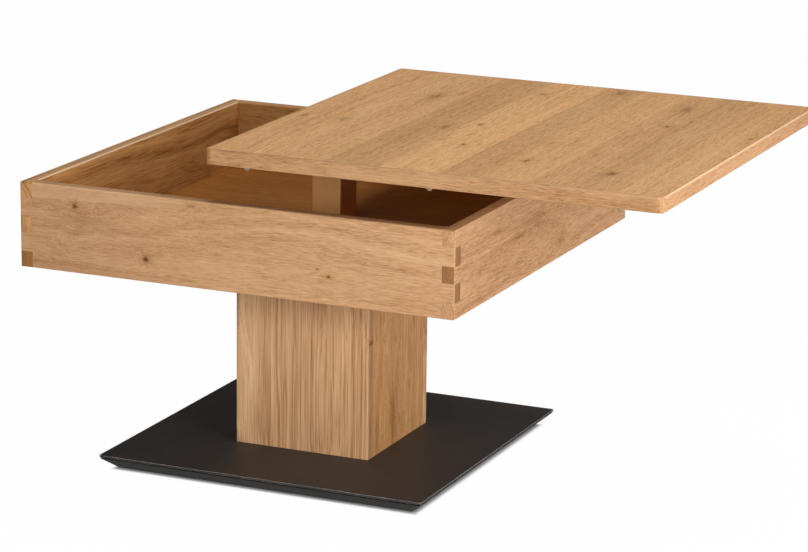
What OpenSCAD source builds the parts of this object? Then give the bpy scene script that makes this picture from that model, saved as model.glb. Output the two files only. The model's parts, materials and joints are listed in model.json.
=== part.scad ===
// Square pedestal coffee table with a storage tray, a lifting post and a top that slides sideways.
// Millimetres, +Z up, origin on the floor under the middle of the pedestal.

/* [Pose] */
// How far the top stands above its closed height
lift_now = 50.2; // [0:0.1:100]
// Full stroke of the lifting post
lift_stroke = 160; // [110:1:165]

/* [Table top] */
// Side of the square top and of the square tray
side = 700; // [620:1:860]
// Thickness of the top
top_t = 23; // [21:0.5:32]
// Plan radius of the corners of the top
top_corner_r = 14; // [8:0.5:14]
// Rounding of the long edges of the top
top_edge_r = 3; // [1:0.5:4.5]
// Thickness of the solid lipping round the top
lipping_t = 5; // [5:0.5:9]
// Height of the bumpers under the top
bumper_h = 5.5; // [3:0.5:8]
// Diameter of a bumper
bumper_d = 10; // [6:0.5:14]
// Distance of the outer bumpers from the middle of the top
bumper_x = 285; // [240:1:300]

/* [Tray] */
// Height of the tray walls
tray_h = 130; // [110:1:170]
// Thickness of the tray walls
tray_wall = 20; // [17:0.5:26]
// Thickness of the tray floor
floor_t = 16; // [14:0.5:20]
// Height of the floor's underside above the lower edge of the walls
floor_up = 8; // [8:0.5:12]
// Depth of the groove that holds the floor
floor_groove = 8; // [4:0.5:10]
// Height of the fingers on the side walls
side_finger_h = 24.6; // [20:0.1:28]
// Rounding of the outer edges of the tray
tray_edge_r = 2.5; // [1:0.5:4]

/* [Pedestal] */
// Side of the square pedestal
column_side = 224; // [216:1:260]
// Height of the pedestal between the base and the tray
column_h = 306; // [290:1:380]
// Thickness of the pedestal boards
column_wall = 16; // [12:0.5:18]
// Rounding of the upright edges of the pedestal
column_edge_r = 3; // [1:0.5:5]
// Side of a glue block in the corners of the pedestal
block_side = 26; // [22:0.5:27]
// Height of a glue block
block_h = 60; // [45:1:90]

/* [Base] */
// Side of the square base plate
base_side = 535; // [480:1:640]
// How far the bevel runs in under the base on each side
base_bevel = 21.5; // [10:0.5:35]
// Thickness of the bevelled board
base_board_t = 17; // [14:0.5:24]
// Thickness of the steel cover plate
cover_t = 3; // [2:0.5:6]
// Height of the shadow groove under the cover plate
shadow_h = 2; // [1:0.5:4]
// Depth of the shadow groove
shadow_d = 8; // [4:1:16]
// Plan radius of the corners of the base
base_corner_r = 3; // [1:0.5:8]
// Height of the floor glides
glide_h = 2; // [1:0.5:5]
// Diameter of a floor glide
glide_d = 30; // [16:1:40]

/* [Lifting post] */
// Width of the post along the slide
post_x = 50; // [44:1:52]
// Width of the post across the slide
post_y = 60; // [50:1:66]
// Wall of the post
post_wall = 2.5; // [2:0.5:4]
// Outer corner radius of the post
post_r = 3; // [2.5:0.5:5]
// Thickness of the plastic guides round the post
guide_t = 5; // [4:0.5:7]
// Height of the plastic guides
guide_h = 30; // [20:1:36]
// Wall of the guide tube
tube_wall = 2; // [1.5:0.5:3]

/* [Gas spring] */
// Outer diameter of the gas spring cylinder
cylinder_d = 28; // [24:0.5:32]
// Wall of the cylinder
cylinder_wall = 2; // [1.5:0.5:3]
// Diameter of the piston rod
rod_d = 10; // [8:0.5:12]
// Diameter of the release pin in the rod
pin_d = 4; // [3:0.5:4.5]

/* [Release] */
// Length of the arm that pulls the wire on the hand lever
lever_arm = 16; // [13:0.5:18]
// Length of the arms of the release rocker
rocker_arm = 12; // [11:0.5:13]
// Outer diameter of the cable sheath
sheath_d = 5; // [4:0.5:5.5]
// Bend radius of the cable
cable_bend = 25; // [20:1:28]
// Distance of the lever pivot behind the front of the tray
lever_back = 65; // [60:1:80]

/* [Carriage] */
// Thickness of the plate on the post
plate_t = 6; // [4:0.5:8]
// Width of a carriage arm
arm_w = 30; // [26:1:36]
// Height of a carriage arm
arm_h = 15; // [12:0.5:18]
// Wall of a carriage arm
arm_wall = 2; // [1.5:0.5:3]
// Distance of the arms from the middle of the table
arm_y = 120; // [100:1:150]
// Distance between the two shoes on an arm
shoe_span = 236; // [180:1:250]
// Length of a sliding shoe
shoe_l = 28; // [20:1:34]
// Width of the rail in the top
rail_w = 24; // [22:0.5:28]
// Height of the rail in the top
rail_h = 12; // [10:0.5:13]
// Wall of the rail
rail_wall = 2; // [2:0.5:2.5]
// Distance of the rails' left ends from the lipping
rail_margin = 17; // [12:1:80]

/* [Hidden] */

$fn = 48;
// Clearances
run_gap = 0.3;
screw_gap = 0.1;
pin_gap = 0.05;
stop_gap = 1;
cut = 1;
// How deep a screw stops short of the face it points at
screw_short = 4;
// Colours
oak = [0.80, 0.62, 0.43];
oak_light = [0.85, 0.68, 0.50];
black = [0.13, 0.12, 0.11];
steel = [0.62, 0.62, 0.63];
zinc = [0.72, 0.73, 0.74];
nylon = [0.10, 0.10, 0.10];
clear_rubber = [0.86, 0.85, 0.80];
// Heights of the base, the pedestal and the tray
base_top = glide_h + base_board_t + shadow_h + cover_t;
tray_z = base_top + column_h;
floor_z = tray_z + floor_up;
floor_top = floor_z + floor_t;
rim_z = tray_z + tray_h;
// Height of the top's underside when the table is closed
under_z = rim_z + bumper_h + run_gap;
half = side / 2;
inner = half - tray_wall;
// Front fingers fill what the three side fingers leave
front_finger_h = (tray_h - 3 * side_finger_h) / 2;
// Pedestal
column_in = column_side / 2 - column_wall;
block_c = column_in - block_side / 2;
block_screw_d = 5;
base_bolt_d = 8;
base_head_d = 14;
base_head_h = 5;
block_head_h = 3;
plate_corner_r = 6;
// Guide tube and its flanges
tube_in_x = post_x + 2 * guide_t;
tube_in_y = post_y + 2 * guide_t;
tube_x = tube_in_x + 2 * tube_wall;
tube_y = tube_in_y + 2 * tube_wall;
flange_w = 22;
flange_bolt_in = 11;
foot_t = 5;
flange_t = 4;
foot_z = base_top + foot_t;
flange_screw_d = 5;
window_room = 3;
// Carriage heights
shoe_flange_t = 1.7;
arm_top = under_z - run_gap - shoe_flange_t;
arm_z = arm_top - arm_h;
post_top = arm_z - plate_t;
post_foot_gap = 9;
plate_left = 15;
plate_right = 35;
plate_x0 = -post_x / 2 - plate_left;
plate_x1 = post_x / 2 + plate_right;
plate_y = arm_y + arm_w / 2;
carriage_bolt_d = 6;
carriage_head_d = 10;
carriage_head_h = 4;
carriage_bolt_proud = 0.5;
carriage_bolt_pitch = 20;
carriage_bolt_in = 12;
first_shoe_x = 4;
shoe_x = [first_shoe_x, first_shoe_x + shoe_span];
crossbar_w = 24;
crossbar_gap = 4;
crossbar_x = shoe_x[1] - shoe_l / 2 - crossbar_w - crossbar_gap;
carriage_bolt_x = [
    plate_x1 - carriage_bolt_in - carriage_bolt_pitch,
    plate_x1 - carriage_bolt_in,
    crossbar_x + crossbar_w / 2
];
arm_left = 20;
arm_right = 8;
arm_x0 = shoe_x[0] - shoe_l / 2 - arm_left;
arm_x1 = shoe_x[1] + shoe_l / 2 + arm_right;
shoe_w = rail_w + 2;
shoe_head_w = rail_w - 2 * rail_wall - 2 * run_gap;
shoe_screw_d = 5;
shoe_screw_head_d = 9;
head_room = 1;
shoe_screw_head_h = 3;
shoe_screw_in = 7;
shoe_neck_w = shoe_screw_d + 2.4;
// Rail in the top, in the place of the closed table
stop_l = 10;
stop_in = 2;
rail_x0 = -half + lipping_t + rail_margin;
rail_x1 = shoe_x[1] + shoe_l / 2 + stop_gap + stop_l + stop_in;
// Travel of the top, from the closed table to the left stops on the left shoes
slide_travel = shoe_x[0] - shoe_l / 2 - stop_gap - stop_l - stop_in - rail_x0;
rail_screw_in = 12;
rail_slot_w = shoe_neck_w + 2 * run_gap;
rail_screw_d = 3.5;
rail_screw_n = 4;
rail_screw_head_d = 6.5;
rail_screw_head_h = 1.4;
bumper_in = bumper_d;
// Gas spring
head_h = 33;
head_z = foot_z;
rod_z = head_z + head_h;
rod_show = 18;
cylinder_dead_l = 90;
cylinder_z = rod_z + rod_show;
// Foot of the post in the closed table
post_z = rod_z + post_foot_gap;
post_l = post_top - post_z;
cylinder_l = lift_stroke + cylinder_dead_l;
cylinder_in_r = cylinder_d / 2 - cylinder_wall;
seal_h = 12;
end_wall = 6;
piston_h = 12;
rod_block_h = 10;
piston_z = cylinder_z + lift_stroke + seal_h + stop_gap;
rod_top = piston_z + piston_h;
spacer_d = 20;
stud_d = 10;
nut_h = 8;
nut_r = 9.5;
// Release gear
pivot_y = -rocker_arm;
pivot_up = 15;
pivot_z = head_z + pivot_up;
nose_up = 2;
pin_z = pivot_z + nose_up + run_gap;
rod_top_solid = 10;
pin_top = rod_top - rod_top_solid;
pin_room = 5;
pin_tip_h = 1;
wire_z = pivot_z + rocker_arm;
wire_x = -lever_arm;
wire_d = 1.6;
wire_in = 8;
head_x = lever_arm + 7;
cheek_t = 3;
rocker_w = 4;
rocker_wall = 1.5;
ear_t = 1.6;
ear_x = 2.4;
head_plate_t = 3;
head_back = 20;
head_screw_y = [-8, 16];
head_screw_d = 4;
head_screw_head_d = 7;
head_screw_head_h = 3;
rocker_room = 5;
stop_plate_h = 8;
nose_l = 15;
nose_down = 2;
rocker_shaft_d = 5;
nipple_d = 4;
nipple_l = 6.8;
nipple_room = 0.8;
stop_plate_off = 11;
stop_plate_y = pivot_y - stop_plate_off;
stop_plate_t = 3;
ferrule_d = sheath_d + 1.6;
ferrule_l = 7;
ferrule_seat = 3;
ferrule_nose_d = 5;
sheath_in_d = 2.4;
sheath_start = stop_plate_y - stop_plate_t - ferrule_seat;
cable_off = 33;
clip_w = 16;
clip_l = 8;
clip_wall = 2;
clip_share = [0.3, 0.7];
cable_y = -(tube_y / 2 + cable_off);
cable_z = floor_z - 1 - sheath_d / 2;
lever_y = -half + lever_back;
lever_stop_off = 30;
lever_stop_y = lever_y + lever_stop_off;
sheath_end = lever_stop_y + stop_plate_t + ferrule_seat;
bracket_t = 2;
bracket_side = 20;
bracket_front = 14;
bracket_screw_in = 8;
bracket_screw_off = 18;
bracket_screw_d = 4;
bracket_head_d = 8;
bracket_head_h = 2;
lever_t = 3;
lever_w = 14;
lever_z = cable_z - sheath_d / 2 - lever_t + 1;
lever_pivot_d = 8;
lever_bolt_d = 5;
lever_bolt_in = 11;
lever_bolt_head_d = 13;
lever_bolt_head_h = 3;
lever_hub_d = 16;
grip_in = 12;
grip_y = -half + tray_wall + grip_in;
grip_room = 9;
grip_l = lever_back - tray_wall - grip_in - grip_room;
grip_w = 22;
grip_h = 8;
grip_r = 5;
// Collar in the tray floor
collar_t = 2;
collar_rim = 10;
collar_r = 5;
collar_skirt = 3;
collar_skirt_h = 10;
hole_r = 4;
hole_x = post_x + 2 * run_gap + 2 * collar_skirt + 2 * screw_gap;
hole_y = post_y + 2 * run_gap + 2 * collar_skirt + 2 * screw_gap;

module block(x0, x1, y0, y1, z0, z1) {
    translate([x0, y0, z0]) cube([x1 - x0, y1 - y0, z1 - z0]);
}

// Outline with rounded corners, centred
module rounded_rect(w, d, r) {
    square([w - 2 * r, d], center = true);
    square([w, d - 2 * r], center = true);
    for (sx = [-1, 1], sy = [-1, 1])
        translate([sx * (w / 2 - r), sy * (d / 2 - r)]) circle(r);
}

// Square slab whose long edges and plan corners are rounded, standing on z = 0
module soft_slab(s, h, edge_r, corner_r) {
    intersection() {
        translate([-s / 2, 0, h / 2]) rotate([90, 0, 90]) linear_extrude(s) rounded_rect(s, h, edge_r);
        translate([0, s / 2, h / 2]) rotate([90, 0, 0]) linear_extrude(s) rounded_rect(s, h, edge_r);
        linear_extrude(h) rounded_rect(s, s, corner_r);
    }
}

// Screw that points up: its head from z0, its end at z1
module screw_up(z0, z1, d, head_d, head_h, extra = 0) {
    translate([0, 0, z0 - extra]) cylinder(d = head_d + 2 * extra, h = head_h + extra);
    translate([0, 0, z0]) cylinder(d = d + 2 * extra, h = z1 - z0 + extra);
}

// Screw that points down: its end at z0, the top of its head at z1
module screw_down(z0, z1, d, head_d, head_h, extra = 0) {
    translate([0, 0, z0 - extra]) cylinder(d = d + 2 * extra, h = z1 - z0 + extra);
    translate([0, 0, z1 - head_h]) cylinder(d = head_d + 2 * extra, h = head_h + extra);
}

module corners(x, y) {
    for (sx = [-1, 1], sy = [-1, 1]) translate([sx * x, sy * y, 0]) children();
}

module rect_tube(w, d, wall, r, h) {
    linear_extrude(h) difference() {
        rounded_rect(w, d, r);
        rounded_rect(w - 2 * wall, d - 2 * wall, max(r - wall, 0.5));
    }
}

// Parts that rise with the post are drawn in the closed table and carried up here
module lifted() {
    translate([0, 0, lift_now]) children();
}

// Parts of the top also slide to the right
module slid() {
    translate([slide_travel, 0, lift_now]) children();
}

// Base
module floor_glides() {
    color(nylon) {
        cylinder(d = glide_d, h = glide_h);
        glide_c = base_side / 2 - base_bevel - glide_d;
        corners(glide_c, glide_c) cylinder(d = glide_d, h = glide_h);
    }
}

module base_section() {
    low = base_side / 2 - base_bevel;
    high = base_side / 2 - 1;
    polygon([[-low, 0], [low, 0], [high, base_board_t], [-high, base_board_t]]);
}

module base_bolts_at(extra = 0) {
    corners(tube_x / 2 + flange_bolt_in, tube_y / 2 + flange_bolt_in)
        screw_up(glide_h, foot_z + 2, base_bolt_d, base_head_d, base_head_h, extra);
}

module block_screws_low_at(extra = 0) {
    corners(block_c, block_c)
        screw_up(glide_h, base_top + block_h / 2,
                 block_screw_d, 2 * block_screw_d, block_head_h, extra);
}

module base_board() {
    color(black) difference() {
        union() {
            translate([0, 0, glide_h]) intersection() {
                translate([-base_side / 2, 0, 0])
                    rotate([90, 0, 90]) linear_extrude(base_side) base_section();
                translate([0, base_side / 2, 0])
                    rotate([90, 0, 0]) linear_extrude(base_side) base_section();
                linear_extrude(base_board_t) rounded_rect(base_side - 2, base_side - 2, base_corner_r);
            }
            field = base_side - 2 * shadow_d;
            translate([0, 0, glide_h + base_board_t])
                linear_extrude(shadow_h) rounded_rect(field, field, base_corner_r);
        }
        base_bolts_at(screw_gap);
        block_screws_low_at(screw_gap);
    }
}

module base_cover() {
    color(black) difference() {
        translate([0, 0, base_top - cover_t])
            linear_extrude(cover_t) rounded_rect(base_side, base_side, base_corner_r);
        base_bolts_at(screw_gap);
        block_screws_low_at(screw_gap);
    }
}

module base_bolts() {
    color(zinc) base_bolts_at();
}

module block_screws_low() {
    color(zinc) block_screws_low_at();
}

// Pedestal
module column_shell(x0, x1, y0, y1) {
    intersection() {
        translate([0, 0, base_top])
            linear_extrude(floor_z - base_top) rounded_rect(column_side, column_side, column_edge_r);
        block(x0, x1, y0, y1, base_top, floor_z);
    }
}

module column_front() {
    out = column_side / 2;
    notch = sheath_d / 2 + 1;
    color(oak) difference() {
        column_shell(-out, out, -out, -column_in);
        block(wire_x - notch, wire_x + notch, -out - cut, -column_in + cut, cable_z - notch, floor_z + cut);
    }
}

module column_back() {
    out = column_side / 2;
    color(oak) mirror([0, 1, 0]) column_shell(-out, out, -out, -column_in);
}

module column_left() {
    color(oak) column_shell(-column_side / 2, -column_in, -column_in, column_in);
}

module column_right() {
    color(oak) column_shell(column_in, column_side / 2, -column_in, column_in);
}

module block_screws_top_at(extra = 0) {
    corners(block_c, block_c)
        screw_up(floor_z - block_h - block_head_h, floor_top - screw_short,
                 block_screw_d, 2 * block_screw_d, block_head_h, extra);
}

module corner_blocks() {
    color(oak_light) difference() {
        for (z = [base_top, floor_z - block_h])
            corners(block_c, block_c)
                translate([-block_side / 2, -block_side / 2, z])
                    cube([block_side, block_side, block_h]);
        block_screws_low_at(screw_gap);
        block_screws_top_at(screw_gap);
    }
}

module block_screws_top() {
    color(zinc) block_screws_top_at();
}

// Guide tube
module guide_tube_foot() {
    color(steel) difference() {
        translate([0, 0, base_top])
            linear_extrude(foot_t)
                rounded_rect(tube_x + 2 * flange_w, tube_y + 2 * flange_w, plate_corner_r);
        base_bolts_at(screw_gap);
        release_head_screws_at(screw_gap);
    }
}

module guide_tube() {
    window = sheath_d / 2 + window_room;
    color(steel) difference() {
        translate([0, 0, foot_z]) rect_tube(tube_x, tube_y, tube_wall, tube_wall + 1, floor_z - foot_z);
        block(wire_x - window, wire_x + window, -tube_y / 2 - cut, -tube_in_y / 2 + cut,
              wire_z - window, wire_z + window);
    }
}

module flange_screws_at(extra = 0) {
    corners(tube_x / 2 + flange_bolt_in, tube_y / 2 + flange_bolt_in)
        screw_up(floor_z - flange_t - block_head_h, floor_top - screw_short,
                 flange_screw_d, 2 * flange_screw_d, block_head_h, extra);
}

module guide_tube_flange() {
    color(steel) difference() {
        translate([0, 0, floor_z - flange_t]) linear_extrude(flange_t) difference() {
            rounded_rect(tube_x + 2 * flange_w, tube_y + 2 * flange_w, plate_corner_r);
            rounded_rect(tube_x, tube_y, tube_wall + 1);
        }
        flange_screws_at(screw_gap);
    }
}

module flange_screws() {
    color(zinc) flange_screws_at();
}

// Plastic guide between the tube and the post; the loose side has the running gap
module guide_ring(outer_gap, inner_gap, h) {
    linear_extrude(h) difference() {
        rounded_rect(tube_in_x - 2 * outer_gap, tube_in_y - 2 * outer_gap, 1);
        rounded_rect(post_x + 2 * inner_gap, post_y + 2 * inner_gap, post_r);
    }
}

module upper_guide() {
    color(nylon) translate([0, 0, floor_z - guide_h]) guide_ring(0, run_gap, guide_h);
}

// Release gear at the foot of the gas spring
module release_head_screws_at(extra = 0) {
    for (y = head_screw_y)
        translate([0, y, 0])
            screw_down(base_top, head_z + head_plate_t + head_screw_head_h,
                       head_screw_d, head_screw_head_d, head_screw_head_h, extra);
}

module release_head() {
    front = stop_plate_y - stop_plate_t;
    bridge_z = rod_z - rod_block_h;
    color(zinc) difference() {
        union() {
            block(-head_x, head_x, front, head_back, head_z, head_z + head_plate_t);
            for (sx = [-1, 1])
                translate([sx * (head_x - cheek_t / 2), 0, 0])
                    block(-cheek_t / 2, cheek_t / 2, front, head_back, head_z, rod_z);
            block(-head_x, head_x, pivot_y + rocker_room, head_back, bridge_z, rod_z);
            block(-head_x, head_x, front, stop_plate_y, wire_z - stop_plate_h, rod_z);
        }
        translate([0, 0, bridge_z - cut]) cylinder(d = rod_d + 2 * screw_gap, h = rod_block_h + 2 * cut);
        translate([-head_x - cut, pivot_y, pivot_z])
            rotate([0, 90, 0]) cylinder(d = rocker_shaft_d + 2 * pin_gap, h = 2 * head_x + 2 * cut);
        translate([wire_x, front - cut, wire_z])
            rotate([-90, 0, 0]) cylinder(d = ferrule_nose_d + 2 * screw_gap, h = stop_plate_t + 2 * cut);
        release_head_screws_at(screw_gap);
    }
}

module release_head_screws() {
    color(steel) release_head_screws_at();
}

module piston_rod() {
    color(steel) difference() {
        union() {
            translate([0, 0, rod_z - rod_block_h]) cylinder(d = rod_d, h = rod_top - rod_z + rod_block_h);
            translate([0, 0, piston_z]) cylinder(r = cylinder_in_r - run_gap, h = piston_h);
        }
        translate([0, 0, rod_z - rod_block_h - cut])
            cylinder(d = pin_d + 2 * pin_gap, h = pin_top + pin_room - rod_z + rod_block_h + cut);
    }
}

module release_pin() {
    color(zinc) {
        translate([0, 0, pin_z]) cylinder(d1 = pin_d / 2, d2 = pin_d, h = pin_tip_h);
        translate([0, 0, pin_z + pin_tip_h]) cylinder(d = pin_d, h = pin_top - pin_z - pin_tip_h);
    }
}

// Rocker with an upright arm for the wire and a level nose under the pin
module release_rocker() {
    reach = head_x - cheek_t - run_gap;
    hub_d = rocker_shaft_d + 2 * rocker_wall;
    ear_r = nipple_d / 2 + nipple_room + rocker_wall;
    color(steel) difference() {
        union() {
            translate([-reach, pivot_y, pivot_z]) rotate([0, 90, 0]) cylinder(d = hub_d, h = 2 * reach);
            block(-rocker_w, rocker_w, pivot_y, pivot_y + nose_l, pivot_z - nose_down, pivot_z + nose_up);
            for (sx = [-1, 1]) translate([wire_x + sx * ear_x, 0, 0])
                block(-ear_t / 2, ear_t / 2, pivot_y - ear_r, pivot_y + ear_r, pivot_z, wire_z + ear_r);
        }
        translate([-reach - cut, pivot_y, pivot_z])
            rotate([0, 90, 0]) cylinder(d = rocker_shaft_d + 2 * pin_gap, h = 2 * reach + 2 * cut);
        translate([wire_x - nipple_l / 2, pivot_y, wire_z])
            rotate([0, 90, 0]) cylinder(d = nipple_d + 2 * nipple_room, h = nipple_l);
    }
}

module rocker_pivot() {
    color(steel) translate([-head_x, pivot_y, pivot_z])
        rotate([0, 90, 0]) cylinder(d = rocker_shaft_d, h = 2 * head_x);
}

// Bowden cable: along the base, up inside the pedestal and forward under the tray floor
module sheath_run(l) {
    difference() {
        cylinder(d = sheath_d, h = l);
        translate([0, 0, -cut]) cylinder(d = sheath_in_d, h = l + 2 * cut);
    }
}

module sheath_bend() {
    rotate_extrude(angle = 90) translate([cable_bend, 0]) difference() {
        circle(d = sheath_d);
        circle(d = sheath_in_d);
    }
}

module cable_sheath() {
    low_y = cable_y + cable_bend;
    low_z = wire_z + cable_bend;
    high_y = cable_y - cable_bend;
    high_z = cable_z - cable_bend;
    color(nylon) translate([wire_x, 0, 0]) {
        translate([0, low_y, wire_z]) rotate([-90, 0, 0]) sheath_run(sheath_start - low_y);
        translate([0, low_y, low_z]) rotate([180, 0, 0]) rotate([90, 0, 90]) sheath_bend();
        translate([0, cable_y, low_z]) sheath_run(high_z - low_z);
        translate([0, high_y, high_z]) rotate([90, 0, 90]) sheath_bend();
        translate([0, sheath_end, cable_z]) rotate([-90, 0, 0]) sheath_run(high_y - sheath_end);
    }
}

// Ferrule seated on the positive side of its stop plate at y = 0, its nose towards negative
module ferrule() {
    rotate([-90, 0, 0]) difference() {
        union() {
            cylinder(d = ferrule_d, h = ferrule_l);
            translate([0, 0, -stop_plate_t]) cylinder(d = ferrule_nose_d, h = stop_plate_t);
        }
        translate([0, 0, ferrule_seat]) cylinder(d = sheath_d + 2 * pin_gap, h = ferrule_l);
        translate([0, 0, -stop_plate_t - cut]) cylinder(d = sheath_in_d, h = ferrule_l + stop_plate_t);
    }
}

module cable_ferrules() {
    color(steel) {
        translate([wire_x, stop_plate_y - stop_plate_t, wire_z]) mirror([0, 1, 0]) ferrule();
        translate([wire_x, lever_stop_y + stop_plate_t, cable_z]) ferrule();
    }
}

module cable_clips() {
    run = -column_side / 2 - sheath_end;
    color(nylon) for (share = clip_share)
        translate([wire_x, sheath_end + run * share, 0]) difference() {
            block(-clip_w / 2, clip_w / 2, -clip_l / 2, clip_l / 2,
                  cable_z - sheath_d / 2 - clip_wall, floor_z);
            translate([0, -clip_l / 2 - cut, cable_z])
                rotate([-90, 0, 0]) cylinder(d = sheath_d + 2 * pin_gap, h = clip_l + 2 * cut);
        }
}

module wire_end_rocker() {
    color(zinc) {
        translate([wire_x - nipple_l / 2, pivot_y, wire_z])
            rotate([0, 90, 0]) cylinder(d = nipple_d, h = nipple_l);
        translate([wire_x, sheath_start - wire_in, wire_z])
            rotate([-90, 0, 0]) cylinder(d = wire_d, h = pivot_y - sheath_start + wire_in);
    }
}

module wire_end_lever() {
    color(zinc) {
        translate([wire_x, lever_y, lever_z])
            cylinder(d = nipple_d, h = floor_z - bracket_t - run_gap - lever_z);
        translate([wire_x, lever_y, cable_z])
            rotate([-90, 0, 0]) cylinder(d = wire_d, h = sheath_end + wire_in - lever_y);
    }
}

// Hand lever under the tray
module lever_bracket_screws_at(extra = 0) {
    for (x = [-lever_arm - bracket_side + bracket_screw_in, bracket_side - bracket_screw_in])
        translate([x, lever_y + bracket_screw_off, 0])
            screw_up(floor_z - bracket_t - bracket_head_h, floor_z + lever_bolt_in,
                     bracket_screw_d, bracket_head_d, bracket_head_h, extra);
}

module lever_bracket() {
    left = -lever_arm - bracket_side;
    back = lever_stop_y + stop_plate_t;
    tab_w = 2 * ferrule_d;
    color(steel) difference() {
        union() {
            block(left, bracket_side, lever_y - bracket_front, back, floor_z - bracket_t, floor_z);
            block(wire_x - tab_w / 2, wire_x + tab_w / 2, lever_stop_y, back,
                  cable_z - ferrule_d, floor_z);
        }
        translate([wire_x, lever_stop_y - cut, cable_z])
            rotate([-90, 0, 0]) cylinder(d = ferrule_nose_d + 2 * screw_gap, h = stop_plate_t + 2 * cut);
        translate([0, lever_y, floor_z - bracket_t - cut])
            cylinder(d = lever_bolt_d + 2 * screw_gap, h = bracket_t + 2 * cut);
        lever_bracket_screws_at(screw_gap);
    }
}

module lever_bracket_screws() {
    color(steel) lever_bracket_screws_at();
}

module lever_pivot_bolt() {
    color(steel) translate([0, lever_y, 0]) {
        translate([0, 0, lever_z - run_gap - lever_bolt_head_h])
            cylinder(d = lever_bolt_head_d, h = lever_bolt_head_h);
        translate([0, 0, lever_z - run_gap])
            cylinder(d = lever_pivot_d, h = floor_z - bracket_t - lever_z + run_gap);
        translate([0, 0, floor_z - bracket_t]) cylinder(d = lever_bolt_d, h = bracket_t + lever_bolt_in);
    }
}

module release_lever() {
    hub_top = floor_z - bracket_t - run_gap;
    arm_half = nipple_d / 2 + nipple_room + 2;
    color(steel) difference() {
        union() {
            translate([0, lever_y, lever_z]) cylinder(d = lever_hub_d, h = hub_top - lever_z);
            block(wire_x, 0, lever_y - arm_half, lever_y + arm_half, lever_z, lever_z + lever_t);
            translate([wire_x, lever_y, lever_z]) cylinder(r = arm_half, h = lever_t);
            block(-lever_w / 2, lever_w / 2, grip_y, lever_y, lever_z, lever_z + lever_t);
        }
        translate([0, lever_y, lever_z - cut])
            cylinder(d = lever_pivot_d + 2 * pin_gap, h = hub_top - lever_z + 2 * cut);
        translate([wire_x, lever_y, lever_z - cut])
            cylinder(d = nipple_d + 2 * nipple_room, h = lever_t + 2 * cut);
    }
}

module lever_grip() {
    color(nylon) translate([0, grip_y + grip_l / 2, lever_z - grip_h])
        linear_extrude(grip_h) rounded_rect(grip_w, grip_l, grip_r);
}

// Lifting post and what rises with it
module lift_post() {
    color(steel) lifted() translate([0, 0, post_z])
        rect_tube(post_x, post_y, post_wall, post_r, post_l);
}

module lower_guide() {
    color(nylon) lifted() translate([0, 0, post_z]) guide_ring(run_gap, 0, guide_h);
}

module carriage_bolts_at(extra = 0) {
    for (sy = [-1, 1], x = carriage_bolt_x)
        translate([x, sy * arm_y, 0])
            screw_up(post_top - carriage_head_h, arm_top + carriage_bolt_proud,
                     carriage_bolt_d, carriage_head_d, carriage_head_h, extra);
}

module head_plate() {
    color(steel) lifted() difference() {
        block(plate_x0, plate_x1, -plate_y, plate_y, post_top, arm_z);
        carriage_bolts_at(screw_gap);
        translate([0, 0, post_top - cut]) {
            cylinder(d = stud_d + 2 * screw_gap, h = plate_t + 2 * cut);
            for (sy = [-1, 1]) translate([shoe_x[0], sy * arm_y, 0])
                cylinder(d = shoe_screw_head_d + 2 * head_room, h = plate_t + 2 * cut);
        }
    }
}

module spring_spacer() {
    color(zinc) lifted() translate([0, 0, cylinder_z + cylinder_l]) difference() {
        cylinder(d = spacer_d, h = post_top - cylinder_z - cylinder_l);
        translate([0, 0, -cut])
            cylinder(d = stud_d + 2 * screw_gap, h = post_top - cylinder_z - cylinder_l + 2 * cut);
    }
}

module gas_spring_cylinder() {
    top = cylinder_z + cylinder_l;
    color(black) lifted() {
        difference() {
            translate([0, 0, cylinder_z]) cylinder(d = cylinder_d, h = cylinder_l);
            translate([0, 0, cylinder_z - cut])
                cylinder(r = cylinder_in_r, h = cylinder_l - end_wall + cut);
        }
        translate([0, 0, top]) cylinder(d = stud_d, h = arm_z + nut_h + 2 - top);
    }
}

module rod_guide_seal() {
    color(nylon) lifted() translate([0, 0, cylinder_z]) difference() {
        cylinder(r = cylinder_in_r, h = seal_h);
        translate([0, 0, -cut]) cylinder(d = rod_d + 2 * pin_gap, h = seal_h + 2 * cut);
    }
}

module spring_nut() {
    color(zinc) lifted() translate([0, 0, arm_z]) difference() {
        cylinder(r = nut_r, h = nut_h, $fn = 6);
        translate([0, 0, -cut]) cylinder(d = stud_d + 2 * screw_gap, h = nut_h + 2 * cut);
    }
}

module shoe_screws_at(extra = 0) {
    for (sy = [-1, 1], x = shoe_x)
        translate([x, sy * arm_y, 0])
            screw_up(arm_z - shoe_screw_head_h, arm_top + shoe_screw_in,
                     shoe_screw_d, shoe_screw_head_d, shoe_screw_head_h, extra);
}

module carriage_arm() {
    difference() {
        translate([arm_x0, arm_y, arm_z + arm_h / 2]) rotate([90, 0, 90])
            rect_tube(arm_w, arm_h, arm_wall, 2, arm_x1 - arm_x0);
        carriage_bolts_at(screw_gap);
        shoe_screws_at(screw_gap);
    }
}

module carriage_arm_front() {
    color(steel) lifted() mirror([0, 1, 0]) carriage_arm();
}

module carriage_arm_back() {
    color(steel) lifted() carriage_arm();
}

// Flat bar that ties the far ends of the arms
module carriage_crossbar() {
    color(steel) lifted() difference() {
        block(crossbar_x, crossbar_x + crossbar_w, -plate_y, plate_y, arm_z - plate_t, arm_z);
        carriage_bolts_at(screw_gap);
    }
}

module carriage_bolts() {
    color(zinc) lifted() carriage_bolts_at();
}

module shoe_screws() {
    color(zinc) lifted() shoe_screws_at();
}

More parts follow.
